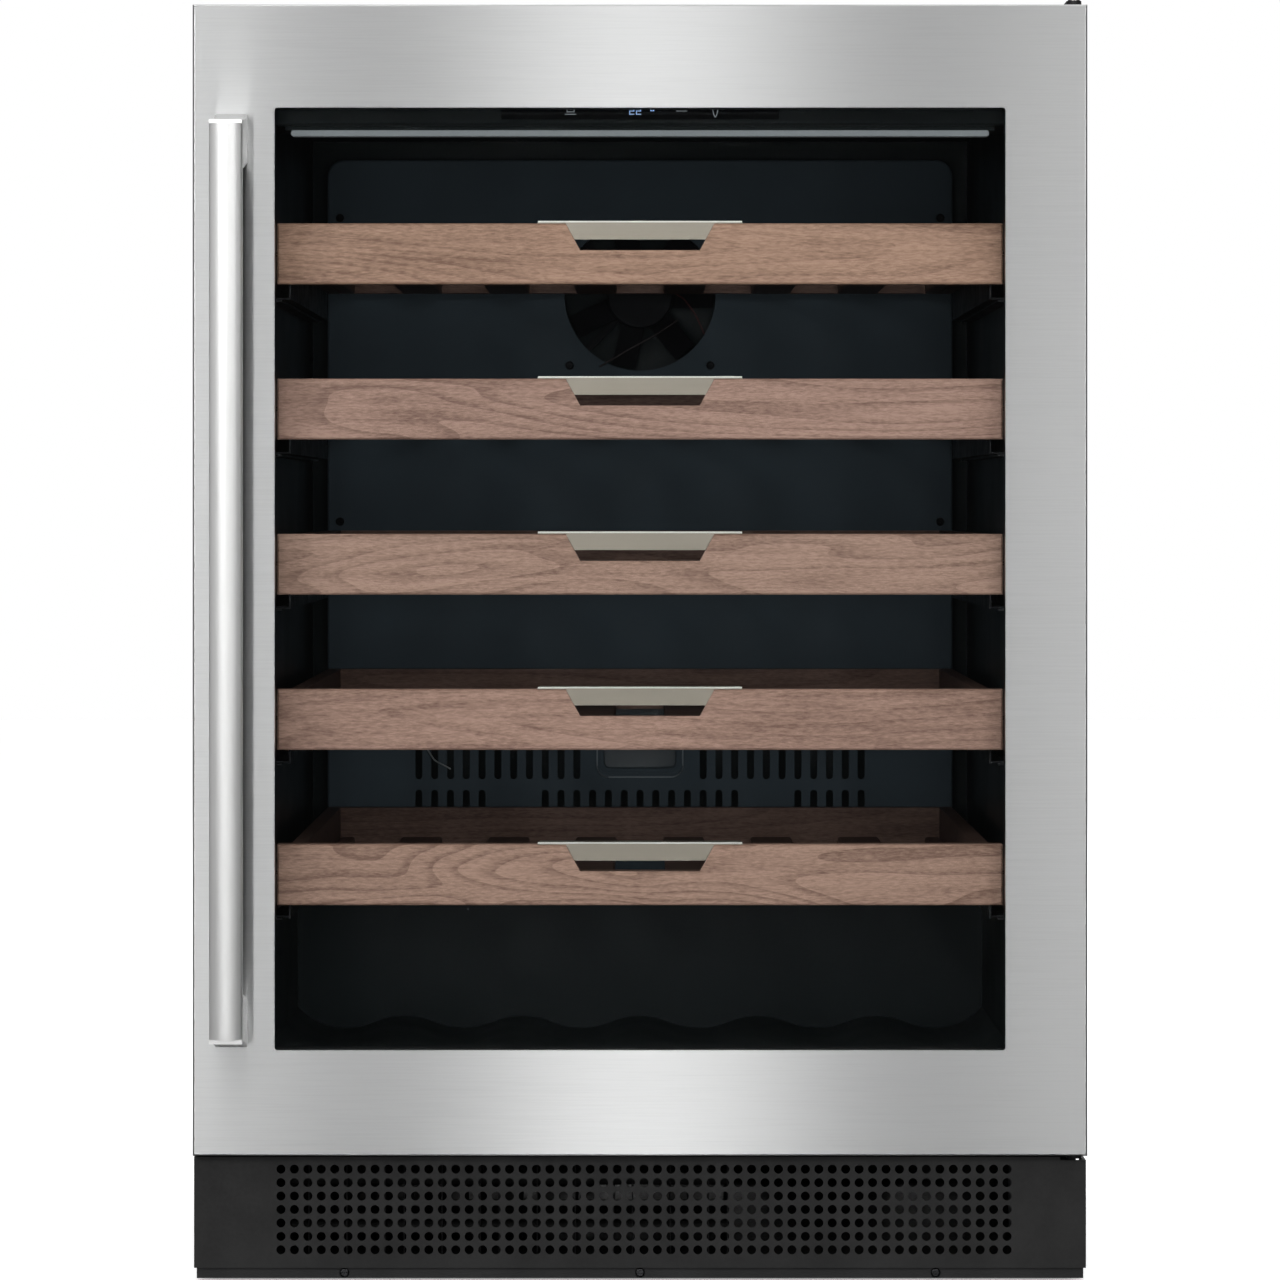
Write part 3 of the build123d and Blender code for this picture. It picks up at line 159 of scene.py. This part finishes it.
def mouldedPlastic(name, colour, rough, grain=1400.0, bumpBy=0.12, variation=0.12, sheen=0.5):
    # a fine moulded grain, with slight changes of shade and gloss
    material, tree, shader = freshMaterial(name, Specular_IOR_Level=sheen)
    grainValue = noise(tree, objectPoints(tree), grain, 2.0, 0.6)
    broad = noise(tree, objectPoints(tree), 14.0, 3.0)
    low, high = shades(colour, variation)
    tree.links.new(tint(tree, broad, [(0.3, low), (0.7, high)]), shader.inputs["Base Color"])
    tree.links.new(spread(tree, broad, rough * 0.9, rough * 1.12), shader.inputs["Roughness"])
    bump(tree, shader, grainValue, bumpBy, 0.0002)
    return material


def powderCoat(name, colour, rough):
    # sprayed powder: an orange-peel ripple with a very fine grain
    material, tree, shader = freshMaterial(name, Specular_IOR_Level=0.2)
    peel = noise(tree, objectPoints(tree), 420.0, 2.0)
    dust = noise(tree, objectPoints(tree), 30.0, 4.0)
    low, high = shades(colour, 0.15)
    tree.links.new(tint(tree, dust, [(0.35, low), (0.65, high)]), shader.inputs["Base Color"])
    tree.links.new(spread(tree, peel, rough * 0.9, rough * 1.15), shader.inputs["Roughness"])
    bump(tree, shader, peel, 0.18, 0.0003)
    return material


def zincPlate(name, colour, rough):
    # crystal spangles of zinc as cells of slightly different grey
    material, tree, shader = freshMaterial(name, Metallic=1.0)
    cells = placeNode(tree, "ShaderNodeTexVoronoi", {"Scale": 70.0, "Randomness": 1.0})
    tree.links.new(objectPoints(tree), cells.inputs["Vector"])
    low, high = shades(colour, 0.12)
    tree.links.new(
        tint(tree, cells.outputs["Color"], [(0.2, low), (0.8, high)]), shader.inputs["Base Color"]
    )
    tree.links.new(
        spread(tree, noise(tree, objectPoints(tree), 90.0), rough * 0.8, rough * 1.2),
        shader.inputs["Roughness"],
    )
    return material


def walnut(name, dark, light, rough, shift=(0, 0, 0), seed=0.0, figure=0.12, run=1.3):
    # sawn walnut: the contour lines of a slow stretched noise as growth rings, each a thin dark line
    # that fades into the next, crossed by short dark pores and fine fibre along the board
    material, tree, shader = freshMaterial(name, Specular_IOR_Level=0.2)
    lean = objectPoints(tree, (run, 9.0, 15.0), shift, (0, 0.012 + 0.01 * math.sin(seed), 0))
    rings = noise(tree, lean, 1.0, 1.5, 0.4, 0.4)
    bands = placeNode(tree, "ShaderNodeMath", operation="MULTIPLY")
    bands.inputs[1].default_value = 21.0
    tree.links.new(rings, bands.inputs[0])
    saw = placeNode(tree, "ShaderNodeMath", operation="FRACT")
    tree.links.new(bands.outputs[0], saw.inputs[0])
    soft = placeNode(
        tree,
        "ShaderNodeMapRange",
        {"From Min": 0.45, "From Max": 1.0, "To Min": 0.0, "To Max": figure},
        interpolation_type="SMOOTHSTEP",
    )
    tree.links.new(saw.outputs[0], soft.inputs["Value"])
    pores = noise(tree, objectPoints(tree, (0.2, 1, 1), shift), 820.0, 2.0, 0.7)
    fibre = noise(tree, objectPoints(tree, (0.05, 1, 1), shift), 210.0, 4.0, 0.65)
    blotch = noise(tree, objectPoints(tree, (0.8, 3, 3), shift), 5.0, 2.0)
    total = soft.outputs["Result"]
    for value, share in ((pores, 0.66), (fibre, 0.46), (blotch, 0.30)):
        add = placeNode(tree, "ShaderNodeMath", operation="MULTIPLY_ADD")
        add.inputs[1].default_value = share
        tree.links.new(value, add.inputs[0])
        tree.links.new(total, add.inputs[2])
        total = add.outputs[0]
    middle = tuple((a + b) / 2 for a, b in zip(dark, light))
    grain = tint(tree, total, [(0.57, light), (0.76, middle), (0.94, dark)])
    tree.links.new(grain, shader.inputs["Base Color"])
    tree.links.new(spread(tree, pores, rough * 0.85, rough * 1.15), shader.inputs["Roughness"])
    bump(tree, shader, pores, 0.12, 0.0003)
    return material


def rubber(name, colour, rough):
    # dull rubber with a talc-like bloom
    material, tree, shader = freshMaterial(name)
    bloom = noise(tree, objectPoints(tree), 60.0, 4.0)
    low, high = shades(colour, 0.25)
    tree.links.new(tint(tree, bloom, [(0.3, low), (0.75, high)]), shader.inputs["Base Color"])
    tree.links.new(spread(tree, bloom, rough, min(1, rough * 1.2)), shader.inputs["Roughness"])
    return material


def windowGlass(name, through, rough=0.02, coating=0.35):
    # clear sheet: light passes straight through with a tint, and the coated surface mirrors a little,
    # more at a grazing angle
    material = bpy.data.materials.new(name)
    material.use_nodes = True
    tree = material.node_tree
    tree.nodes.clear()
    output = placeNode(tree, "ShaderNodeOutputMaterial")
    clear = placeNode(tree, "ShaderNodeBsdfTransparent", {"Color": (*through, 1)})
    mirror = placeNode(tree, "ShaderNodeBsdfAnisotropic", {"Color": (1, 1, 1, 1), "Roughness": rough})
    edgeOn = placeNode(tree, "ShaderNodeFresnel", {"IOR": 1.45})
    share = placeNode(tree, "ShaderNodeMath", operation="MULTIPLY")
    share.inputs[1].default_value = coating
    tree.links.new(edgeOn.outputs[0], share.inputs[0])
    mix = placeNode(tree, "ShaderNodeMixShader")
    tree.links.new(share.outputs[0], mix.inputs[0])
    tree.links.new(clear.outputs[0], mix.inputs[1])
    tree.links.new(mirror.outputs[0], mix.inputs[2])
    tree.links.new(mix.outputs[0], output.inputs["Surface"])
    return material


def glow(name, colour, strength, rough=0.4):
    # a lit plastic face, brighter in soft patches
    material, tree, shader = freshMaterial(name, Roughness=rough)
    shader.inputs["Base Color"].default_value = (*colour, 1)
    shader.inputs["Emission Strength"].default_value = strength
    patches = noise(tree, objectPoints(tree), 20.0, 2.0)
    low, high = shades(colour, 0.08)
    tree.links.new(tint(tree, patches, [(0.3, low), (0.7, high)]), shader.inputs["Emission Color"])
    return material


def circuitBoard(name):
    # green lacquer over a mesh of copper tracks
    material, tree, shader = freshMaterial(name, Roughness=0.35)
    tracks = placeNode(tree, "ShaderNodeTexBrick", {"Scale": 160.0, "Mortar Size": 0.03})
    tree.links.new(objectPoints(tree), tracks.inputs["Vector"])
    tracks.inputs["Color1"].default_value = (0.01, 0.09, 0.04, 1)
    tracks.inputs["Color2"].default_value = (0.012, 0.11, 0.05, 1)
    tracks.inputs["Mortar"].default_value = (0.03, 0.2, 0.09, 1)
    tree.links.new(tracks.outputs["Color"], shader.inputs["Base Color"])
    return material


foamFront = float(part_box("foam_insulation")[0][1])  # its front edge is skinned in black
foamShade = {"start": foamFront + 0.004, "end": foamFront + 0.003, "share": 0.02}
barPaintedShade = {"start": -0.3165, "end": -0.3145, "share": 0.06}  # painted shade: the bar's flanks darken toward its back, standing in for the shade at the bar's rear
finishes = {
    "stainless": brushedSteel("stainless", (0.635, 0.64, 0.64), 0.33, contrast=0.04, smear=1.0),
    "handle": brushedSteel("handleSatin", (0.80, 0.80, 0.795), 0.46, "z", 0.03, 700.0),
    # painted shade: the bar's satin steel darkens toward its back
    "handleBar": darkPast(
        brushedSteel("handleBarSatinPaintedShade", (0.80, 0.80, 0.795), 0.46, "z", 0.03, 700.0), **barPaintedShade
    ),
    # painted highlight: a lighter copy of the door's steel for the chamfer round the window
    "edge": brushedSteel("windowEdgeHighlight", (0.95, 0.95, 0.945), 0.2, contrast=0.03),
    # painted highlight: a lighter copy of the pull's steel for its upper front corner
    "lip": brushedSteel("pullLipHighlight", (0.90, 0.88, 0.80), 0.5, "x", 0.03, 800.0),
    "pull": brushedSteel("pullChampagne", (0.46, 0.400, 0.330), 0.45, "x", 0.04, 800.0),
    "liner": mouldedPlastic("linerBlack", (0.006, 0.0085, 0.009), 0.35, 900.0, 0.10, sheen=0.3),
    "duct": mouldedPlastic("ductBlack", (0.038, 0.049, 0.058), 0.55, 1100.0, 0.14, sheen=0.15),
    "filter": mouldedPlastic("filterBlack", (0.030, 0.037, 0.042), 0.35, sheen=0.7),
    "frame": mouldedPlastic("doorFrameBlack", (0.012, 0.012, 0.013), 0.42),
    "fan": mouldedPlastic("fanBlack", (0.005, 0.005, 0.006), 0.6, 1600.0, 0.08, sheen=0.3),
    "bush": mouldedPlastic("bushNatural", (0.55, 0.54, 0.50), 0.4),
    "enamel": powderCoat("caseEnamel", (0.0098, 0.0098, 0.0102), 0.5),
    "grille": powderCoat("grilleEnamel", (0.0095, 0.0095, 0.0095), 0.65),
    "galvanised": zincPlate("galvanised", (0.24, 0.25, 0.26), 0.5),
    "zinc": zincPlate("slideZinc", (0.055, 0.055, 0.058), 0.4),
    "screw": zincPlate("screwBlack", (0.035, 0.035, 0.037), 0.35),
    "pin": brushedSteel("pinSteel", (0.35, 0.35, 0.35), 0.3, "z", 0.04),
    "aluminium": brushedSteel("finAluminium", (0.60, 0.61, 0.62), 0.35, "z", 0.05),
    "blackCoil": powderCoat("coilPaint", (0.008, 0.008, 0.008), 0.6),
    "spacer": brushedSteel("spacerAluminium", (0.06, 0.06, 0.062), 0.4, "z", 0.05),
    "copper": brushedSteel("pipeCopper", (0.72, 0.36, 0.22), 0.3, "z", 0.08),
    "foam": darkPast(
        mouldedPlastic("foamCream", (0.62, 0.52, 0.30), 0.9, 500.0, 0.4, 0.1), **foamShade
    ),
    "gasket": rubber("gasketRubber", (0.014, 0.014, 0.015), 0.6),
    "mount": rubber("mountRubber", (0.02, 0.02, 0.02), 0.7),
    "foot": mouldedPlastic("footBlack", (0.018, 0.018, 0.019), 0.5),
    "board": circuitBoard("circuitBoard"),
    "display": mouldedPlastic("displayGloss", (0.004, 0.0045, 0.005), 0.08, 300.0, 0.01),
    "light": glow("lightDiffuser", (0.20, 0.215, 0.22), 0.30),
    "outerGlass": windowGlass("outerPane", (0.965, 0.975, 0.98)),
    "innerGlass": windowGlass("innerPane", (0.98, 0.985, 0.985)),
    "tray": walnut("trayWalnut", (0.062, 0.034, 0.025), (0.135, 0.080, 0.062), 0.5, (0.3, 0.1, 0.2)),
}
boards = {  # one tone, figure (ring strength, turns along the board) and shift for each level
    "dark": (0.235, 0.138, 0.098),
    "light": (0.515, 0.330, 0.243),
    "rough": 0.42,
    "tones": [
        (0.97, 0.91, 0.86),
        (0.91, 0.87, 0.91),
        (0.89, 0.87, 0.89),
        (0.86, 0.82, 0.85),
        (0.82, 0.79, 0.80),
    ],
    "figures": [(0.10, 1.6), (0.16, 2.4), (0.14, 2.6), (0.10, 1.2), (0.18, 3.6)],
    "shifts": [(0.9, 0.23, 0.02), (2.3, 0.26, 0.13), (4.1, 0.22, 0.24), (5.7, 0.25, 0.34), (7.2, 0.21, 0.46)],
}
print("finishes made:", len(finishes))


def dress(nodeName, material):
    # a CAD node's material slots all take this finish
    mesh = nodes[nodeName].data
    if not mesh.materials:
        mesh.materials.append(material)
    for place in range(len(mesh.materials)):
        mesh.materials[place] = material


dressing = {
    "stainless": ["door_skin"],
    "handle": ["handle_brackets"],
    "handleBar": ["handle_bar"],
    "liner": ["inner_liner", "control_panel"],
    "duct": ["duct_cover"],
    "filter": ["filter_cover"],
    "frame": ["door_inner_frame"],
    "fan": ["circulation_fan_housing", "condenser_fan_housing", "drip_tray", "power_inlet"],
    "bush": ["door_bushes"],
    "enamel": ["outer_case", "base_pan", "hinge_brackets", "compressor"],
    "grille": ["toe_grille"],
    "galvanised": ["rear_panel"],
    "zinc": ["slide_rails"],
    "screw": ["cabinet_screws"],
    "pin": ["hinge_pins"],
    "aluminium": ["evaporator_coil"],
    "blackCoil": ["condenser_coil"],
    "spacer": ["glass_spacer"],
    "copper": ["refrigerant_pipes"],
    "foam": ["foam_insulation"],
    "gasket": ["door_gasket"],
    "mount": ["compressor_mounts"],
    "foot": ["foot_front_left", "foot_front_right", "foot_rear_left", "foot_rear_right"],
    "board": ["control_board"],
    "display": ["display_window"],
    "light": ["light_bar"],
    "outerGlass": ["outer_glass"],
    "innerGlass": ["inner_glass"],
}
for finishName, nodeNames in dressing.items():
    for nodeName in nodeNames:
        dress(nodeName, finishes[finishName])
for level in range(1, 6):
    tone, figure, shift = (boards[key][level - 1] for key in ("tones", "figures", "shifts"))
    dark, light = (tuple(np.multiply(boards[key], tone).tolist()) for key in ("dark", "light"))
    board = walnut(f"boardWalnut{level}", dark, light, boards["rough"], shift, level * 1.7, *figure)
    dress(f"shelf_{level}_front", board)
    dress(f"shelf_{level}_tray", finishes["tray"])
    dress(f"shelf_{level}_pull", finishes["pull"])
    dress(f"shelf_{level}_runners", finishes["zinc"])
for rotorName in ("circulation_fan_rotor", "condenser_fan_rotor"):
    dress(rotorName, finishes["fan"])
print("CAD nodes dressed")


marks = {
    "height": 0.7942,  # the row's middle line
    "lift": 0.00015,  # the marks stand this far in front of the gloss window
    "greyLine": 0.0005,
    "litLine": 0.00065,
    # each outline and its place along the row
    "grey": [("bell", -0.0475), ("bar", -0.0475), ("clapper", -0.0475), ("bulb", 0.0515), ("minus", 0.0285)],
    "lit": [("digit", -0.0056), ("digit", -0.0010), ("degree", 0.0084)],
}
outlines = {
    "bell": [(-0.0024, -0.0006), (-0.0024, 0.0044), (0.0024, 0.0044), (0.0024, -0.0006), (-0.0024, -0.0006)],
    "bar": [(-0.0037, -0.0022), (0.0037, -0.0022)],
    "clapper": [(0, 0.0010), (0, 0.0026)],
    "bulb": [
        (-0.0026, 0.0046),
        (-0.0011, -0.0022),
        (-0.0002, -0.0041),
        (0.0002, -0.0041),
        (0.0011, -0.0022),
        (0.0026, 0.0046),
    ],
    "minus": [(-0.0035, 0), (0.0035, 0)],
    "digit": [
        (-0.0014, 0.0022),
        (0.0014, 0.0022),
        (0.0014, 0),
        (-0.0014, 0),
        (-0.0014, -0.0022),
        (0.0014, -0.0022),
    ],
    "degree": [(-0.001, 0.0002), (0.001, 0.0002), (0.001, 0.0018), (-0.001, 0.0018), (-0.001, 0.0002)],
}


def displayMarks():
    # a bell over a bar, two lit digits with a degree ring, a minus sign and a lamp bulb:
    # each point = (the mark's place, the row's height) + the outline's own point
    grey = glow("markGrey", (0.36, 0.39, 0.41), 0.28)
    lit = glow("digitBlue", (0.50, 0.68, 0.92), 0.35)
    for name, group, line, finish in (
        ("displayMarks", "grey", marks["greyLine"], grey),
        ("displayDigits", "lit", marks["litLine"], lit),
    ):
        paths = [np.array(outlines[shape]) + (x, marks["height"]) for shape, x in marks[group]]
        strokes(name, paths, line, finish)


def sheet(name, points, faces, material, body):
    # one mesh from corner points and lists of corner numbers, carried by a moving body
    mesh = bpy.data.meshes.new(name)
    mesh.from_pydata(np.asarray(points, float).tolist(), [], faces)
    mesh.materials.append(material)
    thing = bpy.data.objects.new(name, mesh)
    bpy.context.collection.objects.link(thing)
    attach(thing, body)
    return thing


def strokes(name, paths, width, material, face=None, body="cabinet"):
    # flat ribbons along paths of (x, z): each stretch is a quad from start to end, half a width out on every
    # side; they lie on the display window unless another face is given
    if face is None:
        face = float(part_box("display_window")[0][1]) - marks["lift"]
    blocks = []
    for path in paths:
        path = np.array(path, float)
        along = np.diff(path, axis=0)
        along /= np.linalg.norm(along, axis=1)[:, None]
        across = np.stack([-along[:, 1], along[:, 0]], 1) * width / 2
        grow = along * width / 2
        start, end = path[:-1] - grow, path[1:] + grow
        corners = [start - across, end - across, end + across, start + across]
        blocks.append(np.stack(corners, 1).reshape(-1, 2))
    flat = np.concatenate(blocks)
    points = np.stack([flat[:, 0], np.full(len(flat), face), flat[:, 1]], 1)
    faces = np.arange(len(flat)).reshape(-1, 4).tolist()
    return sheet(name, points, faces, material, body)


# the window's chamfer, which carries a painted highlight: half width, bottom, top, width on the face and
# depth behind it
windowEdgeHighlight = {"half": 0.2463, "bottom": 0.1572, "top": 0.7925, "wide": 0.0008, "deep": 0.0007}


def windowRimHighlight():
    # a narrow chamfer round the window in a lighter steel than the door, a painted highlight on the window's
    # edge: outer corners on the steel's face, inner corners `deep` behind it
    half, low, high, wide = (windowEdgeHighlight[key] for key in ("half", "bottom", "top", "wide"))
    face = float(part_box("door_skin")[0][1]) - 0.00005
    rings = []
    for grow, y in ((wide, face), (0.0, face + windowEdgeHighlight["deep"])):
        x, z0, z1 = half + grow, low - grow, high + grow
        rings.append([(-x, y, z0), (x, y, z0), (x, y, z1), (-x, y, z1)])
    turn = np.arange(4)
    quads = np.stack([turn, (turn + 1) % 4, (turn + 1) % 4 + 4, turn + 4], 1)
    sheet("windowRimHighlight", np.concatenate(rings), quads.tolist(), finishes["edge"], "door")


leads = {
    "red": [
        (0.014, 0.2495, 0.697),
        (0.024, 0.249, 0.690),
        (0.034, 0.249, 0.684),
        (0.043, 0.249, 0.672),
        (0.050, 0.25, 0.656),
    ],
    "black": [(0.030, 0.25, 0.668), (0.012, 0.249, 0.656), (-0.010, 0.249, 0.644), (-0.032, 0.25, 0.631)],
    "probe": [(-0.168, 0.25, 0.350), (-0.166, 0.2485, 0.338), (-0.159, 0.2485, 0.327), (-0.146, 0.25, 0.320)],
    "radius": 0.0006,
    "steps": 40,
    "sides": 8,
}


def wire(name, corners, finish):
    # a round tube with closed ends: the centre line runs from corner to corner and is smoothed by a weighted
    # mean of five neighbours; a ring point = centre + radius * (cos a * outward + sin a * sideways)
    corners = np.array(corners, float)
    spot = np.linspace(0, len(corners) - 1, leads["steps"])
    centre = np.stack([np.interp(spot, np.arange(len(corners)), corners[:, k]) for k in range(3)], 1)
    blend = np.array([1, 2, 3, 2, 1]) / 9
    padded = np.concatenate([centre[:1].repeat(2, 0), centre, centre[-1:].repeat(2, 0)])
    centre = np.stack([np.convolve(padded[:, k], blend, "valid") for k in range(3)], 1)
    along = np.gradient(centre, axis=0)
    along /= np.linalg.norm(along, axis=1)[:, None]
    outward = np.array([0.0, -1.0, 0.0]) - along * (-along[:, 1])[:, None]
    outward /= np.linalg.norm(outward, axis=1)[:, None]
    sideways = np.cross(along, outward)
    count, sides = len(centre), leads["sides"]
    angles = np.arange(sides) * math.tau / sides
    rings = centre[:, None] + leads["radius"] * (
        np.cos(angles)[None, :, None] * outward[:, None] + np.sin(angles)[None, :, None] * sideways[:, None]
    )
    row, turn = np.meshgrid(np.arange(count - 1) * sides, np.arange(sides), indexing="ij")
    after = (turn + 1) % sides
    quads = np.stack([row + turn, row + after, row + sides + after, row + sides + turn], -1).reshape(-1, 4)
    ends = [np.arange(sides)[::-1].tolist(), (np.arange(sides) + (count - 1) * sides).tolist()]
    thing = sheet(name, rings.reshape(-1, 3), quads.tolist() + ends, finish, "cabinet")
    thing.data.shade_smooth()


# the painted highlight round the filter cover's rim: its middle, half sizes, corner radius, width, face and
# number of points
filterRingHighlight = {
    "middle": (0.0, 0.350),
    "half": (0.0332, 0.0362),
    "corner": 0.009,
    "wide": 0.0011,
    "face": 0.2513,
    "points": 28,
}


def filterRimHighlight():
    # a painted highlight along the filter cover's rim, in a lighter plastic than the cover: a rounded
    # rectangle of four quarter arcs, each point = middle + the nearest arc's centre + `corner` * (cos a, sin
    # a)
    count = filterRingHighlight["points"]
    turn = (np.arange(count) + 0.5) * math.tau / count
    centre = np.array(filterRingHighlight["half"]) - filterRingHighlight["corner"]
    ring = np.stack([np.cos(turn), np.sin(turn)], 1)
    path = np.array(filterRingHighlight["middle"]) + ring * filterRingHighlight["corner"] + np.sign(ring) * centre
    path = np.concatenate([path, path[:1]])
    # painted highlight: a lighter, glossier plastic than the filter cover for its rim line
    finish = mouldedPlastic("filterEdgeHighlight", (0.085, 0.10, 0.11), 0.4, sheen=0.8)
    strokes("filterRingHighlight", [path], filterRingHighlight["wide"], finish, filterRingHighlight["face"])


# the painted highlight line on each pull: its height and its lift off the pull's face
lipLine = {"wide": 0.0011, "lift": 0.0001}


def paintPullHighlights():
    # a painted highlight along each pull's upper front corner, in a lighter copy of the pull's metal: from
    # end to end less a width, `wide` high
    wide = lipLine["wide"]
    for level in range(1, 6):
        low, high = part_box(f"shelf_{level}_pull")
        z = float(high[2]) - wide / 2
        ends = [(float(low[0]) + wide, z), (float(high[0]) - wide, z)]
        face = float(low[1]) - lipLine["lift"]
        strokes(f"pullLipHighlight{level}", [ends], wide, finishes["lip"], face, f"shelf_{level}")


windowRimHighlight()
wire("fanLeadRed", leads["red"], rubber("leadRed", (0.045, 0.009, 0.008), 0.5))
wire("fanLeadBlack", leads["black"], rubber("leadBlack", (0.03, 0.022, 0.022), 0.5))
paintPullHighlights()
filterRimHighlight()
wire("probeLead", leads["probe"], rubber("leadGrey", (0.16, 0.17, 0.17), 0.5))
displayMarks()
print("details added: window edge, leads, pull lines, filter outline, display marks")


studio = {
    "floorColour": (0.93, 0.93, 0.93),
    "floorGlow": 0.32,
    "ceiling": 0.90,
    "horizon": 0.02,
    "horizonSlope": 0.22,
    "ceilingSlope": 0.60,
    "below": 0.15,  # how much of a downward slope counts as upward
    "floorReach": 9.0,
    "floorAhead": 0.25,
    "cameraDistance": 3.55,
    "cameraHeight": 0.526,
    "lens": 148.2,
    "shiftY": -0.107,
}
doorFront = float(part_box("door_skin")[0][1])


def frontCamera():
    # a level camera just above the door's middle, its lens shifted down to take in the feet
    camera = bpy.data.cameras.new("camera")
    camera.lens = studio["lens"]
    camera.sensor_width = 36
    camera.shift_y = studio["shiftY"]
    thing = bpy.data.objects.new("camera", camera)
    bpy.context.collection.objects.link(thing)
    thing.location = (0, doorFront - studio["cameraDistance"], studio["cameraHeight"])
    thing.rotation_euler = (math.radians(90), 0, 0)
    bpy.context.scene.camera = thing


def softbox(name, place, aim, size, power, mirrored, scattered):
    # a rectangular lamp that faces its aim point; it can light shiny surfaces, matt ones or both
    lamp = bpy.data.lights.new(name, "AREA")
    lamp.shape = "RECTANGLE"
    lamp.size, lamp.size_y = size
    lamp.energy = power
    thing = bpy.data.objects.new(name, lamp)
    bpy.context.collection.objects.link(thing)
    thing.location = place
    thing.visible_glossy = mirrored
    thing.visible_diffuse = scattered
    thing.rotation_euler = (Vector(aim) - Vector(place)).to_track_quat("-Z", "Y").to_euler()


# the mirrored front lamps stand outside the part of the room that the panes mirror to the camera
lamps = {  # place, aim, size, power, lights shiny surfaces, lights matt surfaces
    "frontStrip": ((0, -4.6, 2.3), (0, 0, 0.5), (0.4, 1.3), 7.8, True, True),
    "lowStrip": ((0, -4.6, -1.1), (0, 0, 0.5), (0.4, 1.2), 9.6, True, False),
    "leftStrip": ((-0.70, -4.6, 0.45), (0, 0, 0.45), (0.2, 1.0), 6.4, True, False),
    "rightStrip": ((0.68, -4.6, 0.45), (0, 0, 0.45), (0.2, 1.0), 4.4, True, False),
    "leftCard": ((-1.7, -4.3, 1.9), (0, 0, 0.45), (0.8, 1.0), 68, True, False),
    "rightCard": ((1.9, -4.3, 1.9), (0, 0, 0.45), (0.8, 1.0), 38, True, False),
    "sideCard": ((-3.6, -2.4, 0.7), (-0.3, -0.3, 0.5), (1.2, 1.8), 7, True, False),
    "leftFront": ((-1.7, -4.3, 1.9), (0, 0, 0.45), (1.6, 1.2), 75, False, True),
    "rightFront": ((2.4, -3.9, 2.0), (0, 0, 0.45), (1.2, 1.2), 12, False, True),
    "diffuseFill": ((0.2, -4.5, 0.75), (0, 0, 0.5), (1.8, 1.4), 115, False, True),
    "overhead": ((0, -0.6, 3.6), (0, 0, 0.4), (2.6, 2.0), 60, False, True),
    "backFill": ((0.8, 4.2, 2.4), (0, 0, 0.4), (2.5, 2.5), 50, True, True),
}


def whiteSky():
    # white to the camera; to every surface its strength grows from horizon to ceiling with the direction's
    # slope z, where a downward slope counts as -`below` * z
    world = bpy.data.worlds.new("studio")
    world.use_nodes = True
    bpy.context.scene.world = world
    sky = world.node_tree
    sky.nodes["Background"].inputs["Color"].default_value = (1, 1, 1, 1)
    path = placeNode(sky, "ShaderNodeLightPath")
    around = placeNode(sky, "ShaderNodeTexCoord")
    upward = placeNode(sky, "ShaderNodeSeparateXYZ")
    sky.links.new(around.outputs["Generated"], upward.inputs[0])
    byHeight = placeNode(
        sky,
        "ShaderNodeMapRange",
        {
            "From Min": studio["horizonSlope"],
            "From Max": studio["ceilingSlope"],
            "To Min": studio["horizon"],
            "To Max": studio["ceiling"],
        },
    )
    steepness = placeNode(sky, "ShaderNodeMath", operation="MAXIMUM")
    downward = placeNode(sky, "ShaderNodeMath", operation="MULTIPLY")
    downward.inputs[1].default_value = -studio["below"]
    sky.links.new(upward.outputs["Z"], downward.inputs[0])
    sky.links.new(upward.outputs["Z"], steepness.inputs[0])
    sky.links.new(downward.outputs[0], steepness.inputs[1])
    sky.links.new(steepness.outputs[0], byHeight.inputs["Value"])
    seen = placeNode(sky, "ShaderNodeMix", {"B": 1.0}, data_type="FLOAT")
    sky.links.new(path.outputs["Is Camera Ray"], seen.inputs["Factor"])
    sky.links.new(byHeight.outputs["Result"], seen.inputs["A"])
    sky.links.new(seen.outputs[0], sky.nodes["Background"].inputs["Strength"])


def floorSheet():
    # a flat pale sheet under the cooler, left out of mirrored light; its front edge lets the low strip pass
    side, front = studio["floorReach"], doorFront - studio["floorAhead"]
    mesh = bpy.data.meshes.new("floor")
    corners = [(-side, front, 0), (side, front, 0), (side, side, 0), (-side, side, 0)]
    mesh.from_pydata(corners, [], [(0, 1, 2, 3)])
    thing = bpy.data.objects.new("floor", mesh)
    bpy.context.collection.objects.link(thing)
    thing.visible_glossy = False
    material, tree, shader = freshMaterial("floorPaper", Roughness=0.8)
    low, high = shades(studio["floorColour"], 0.01)
    broad = noise(tree, objectPoints(tree), 3.0)
    tree.links.new(tint(tree, broad, [(0.3, low), (0.7, high)]), shader.inputs["Base Color"])
    shader.inputs["Emission Color"].default_value = (1, 1, 1, 1)
    shader.inputs["Emission Strength"].default_value = studio["floorGlow"]
    mesh.materials.append(material)


frontCamera()
for lampName, settings in lamps.items():
    softbox(lampName, *settings)
whiteSky()
floorSheet()
bpy.context.scene.view_settings.view_transform = "Standard"
print("studio set")
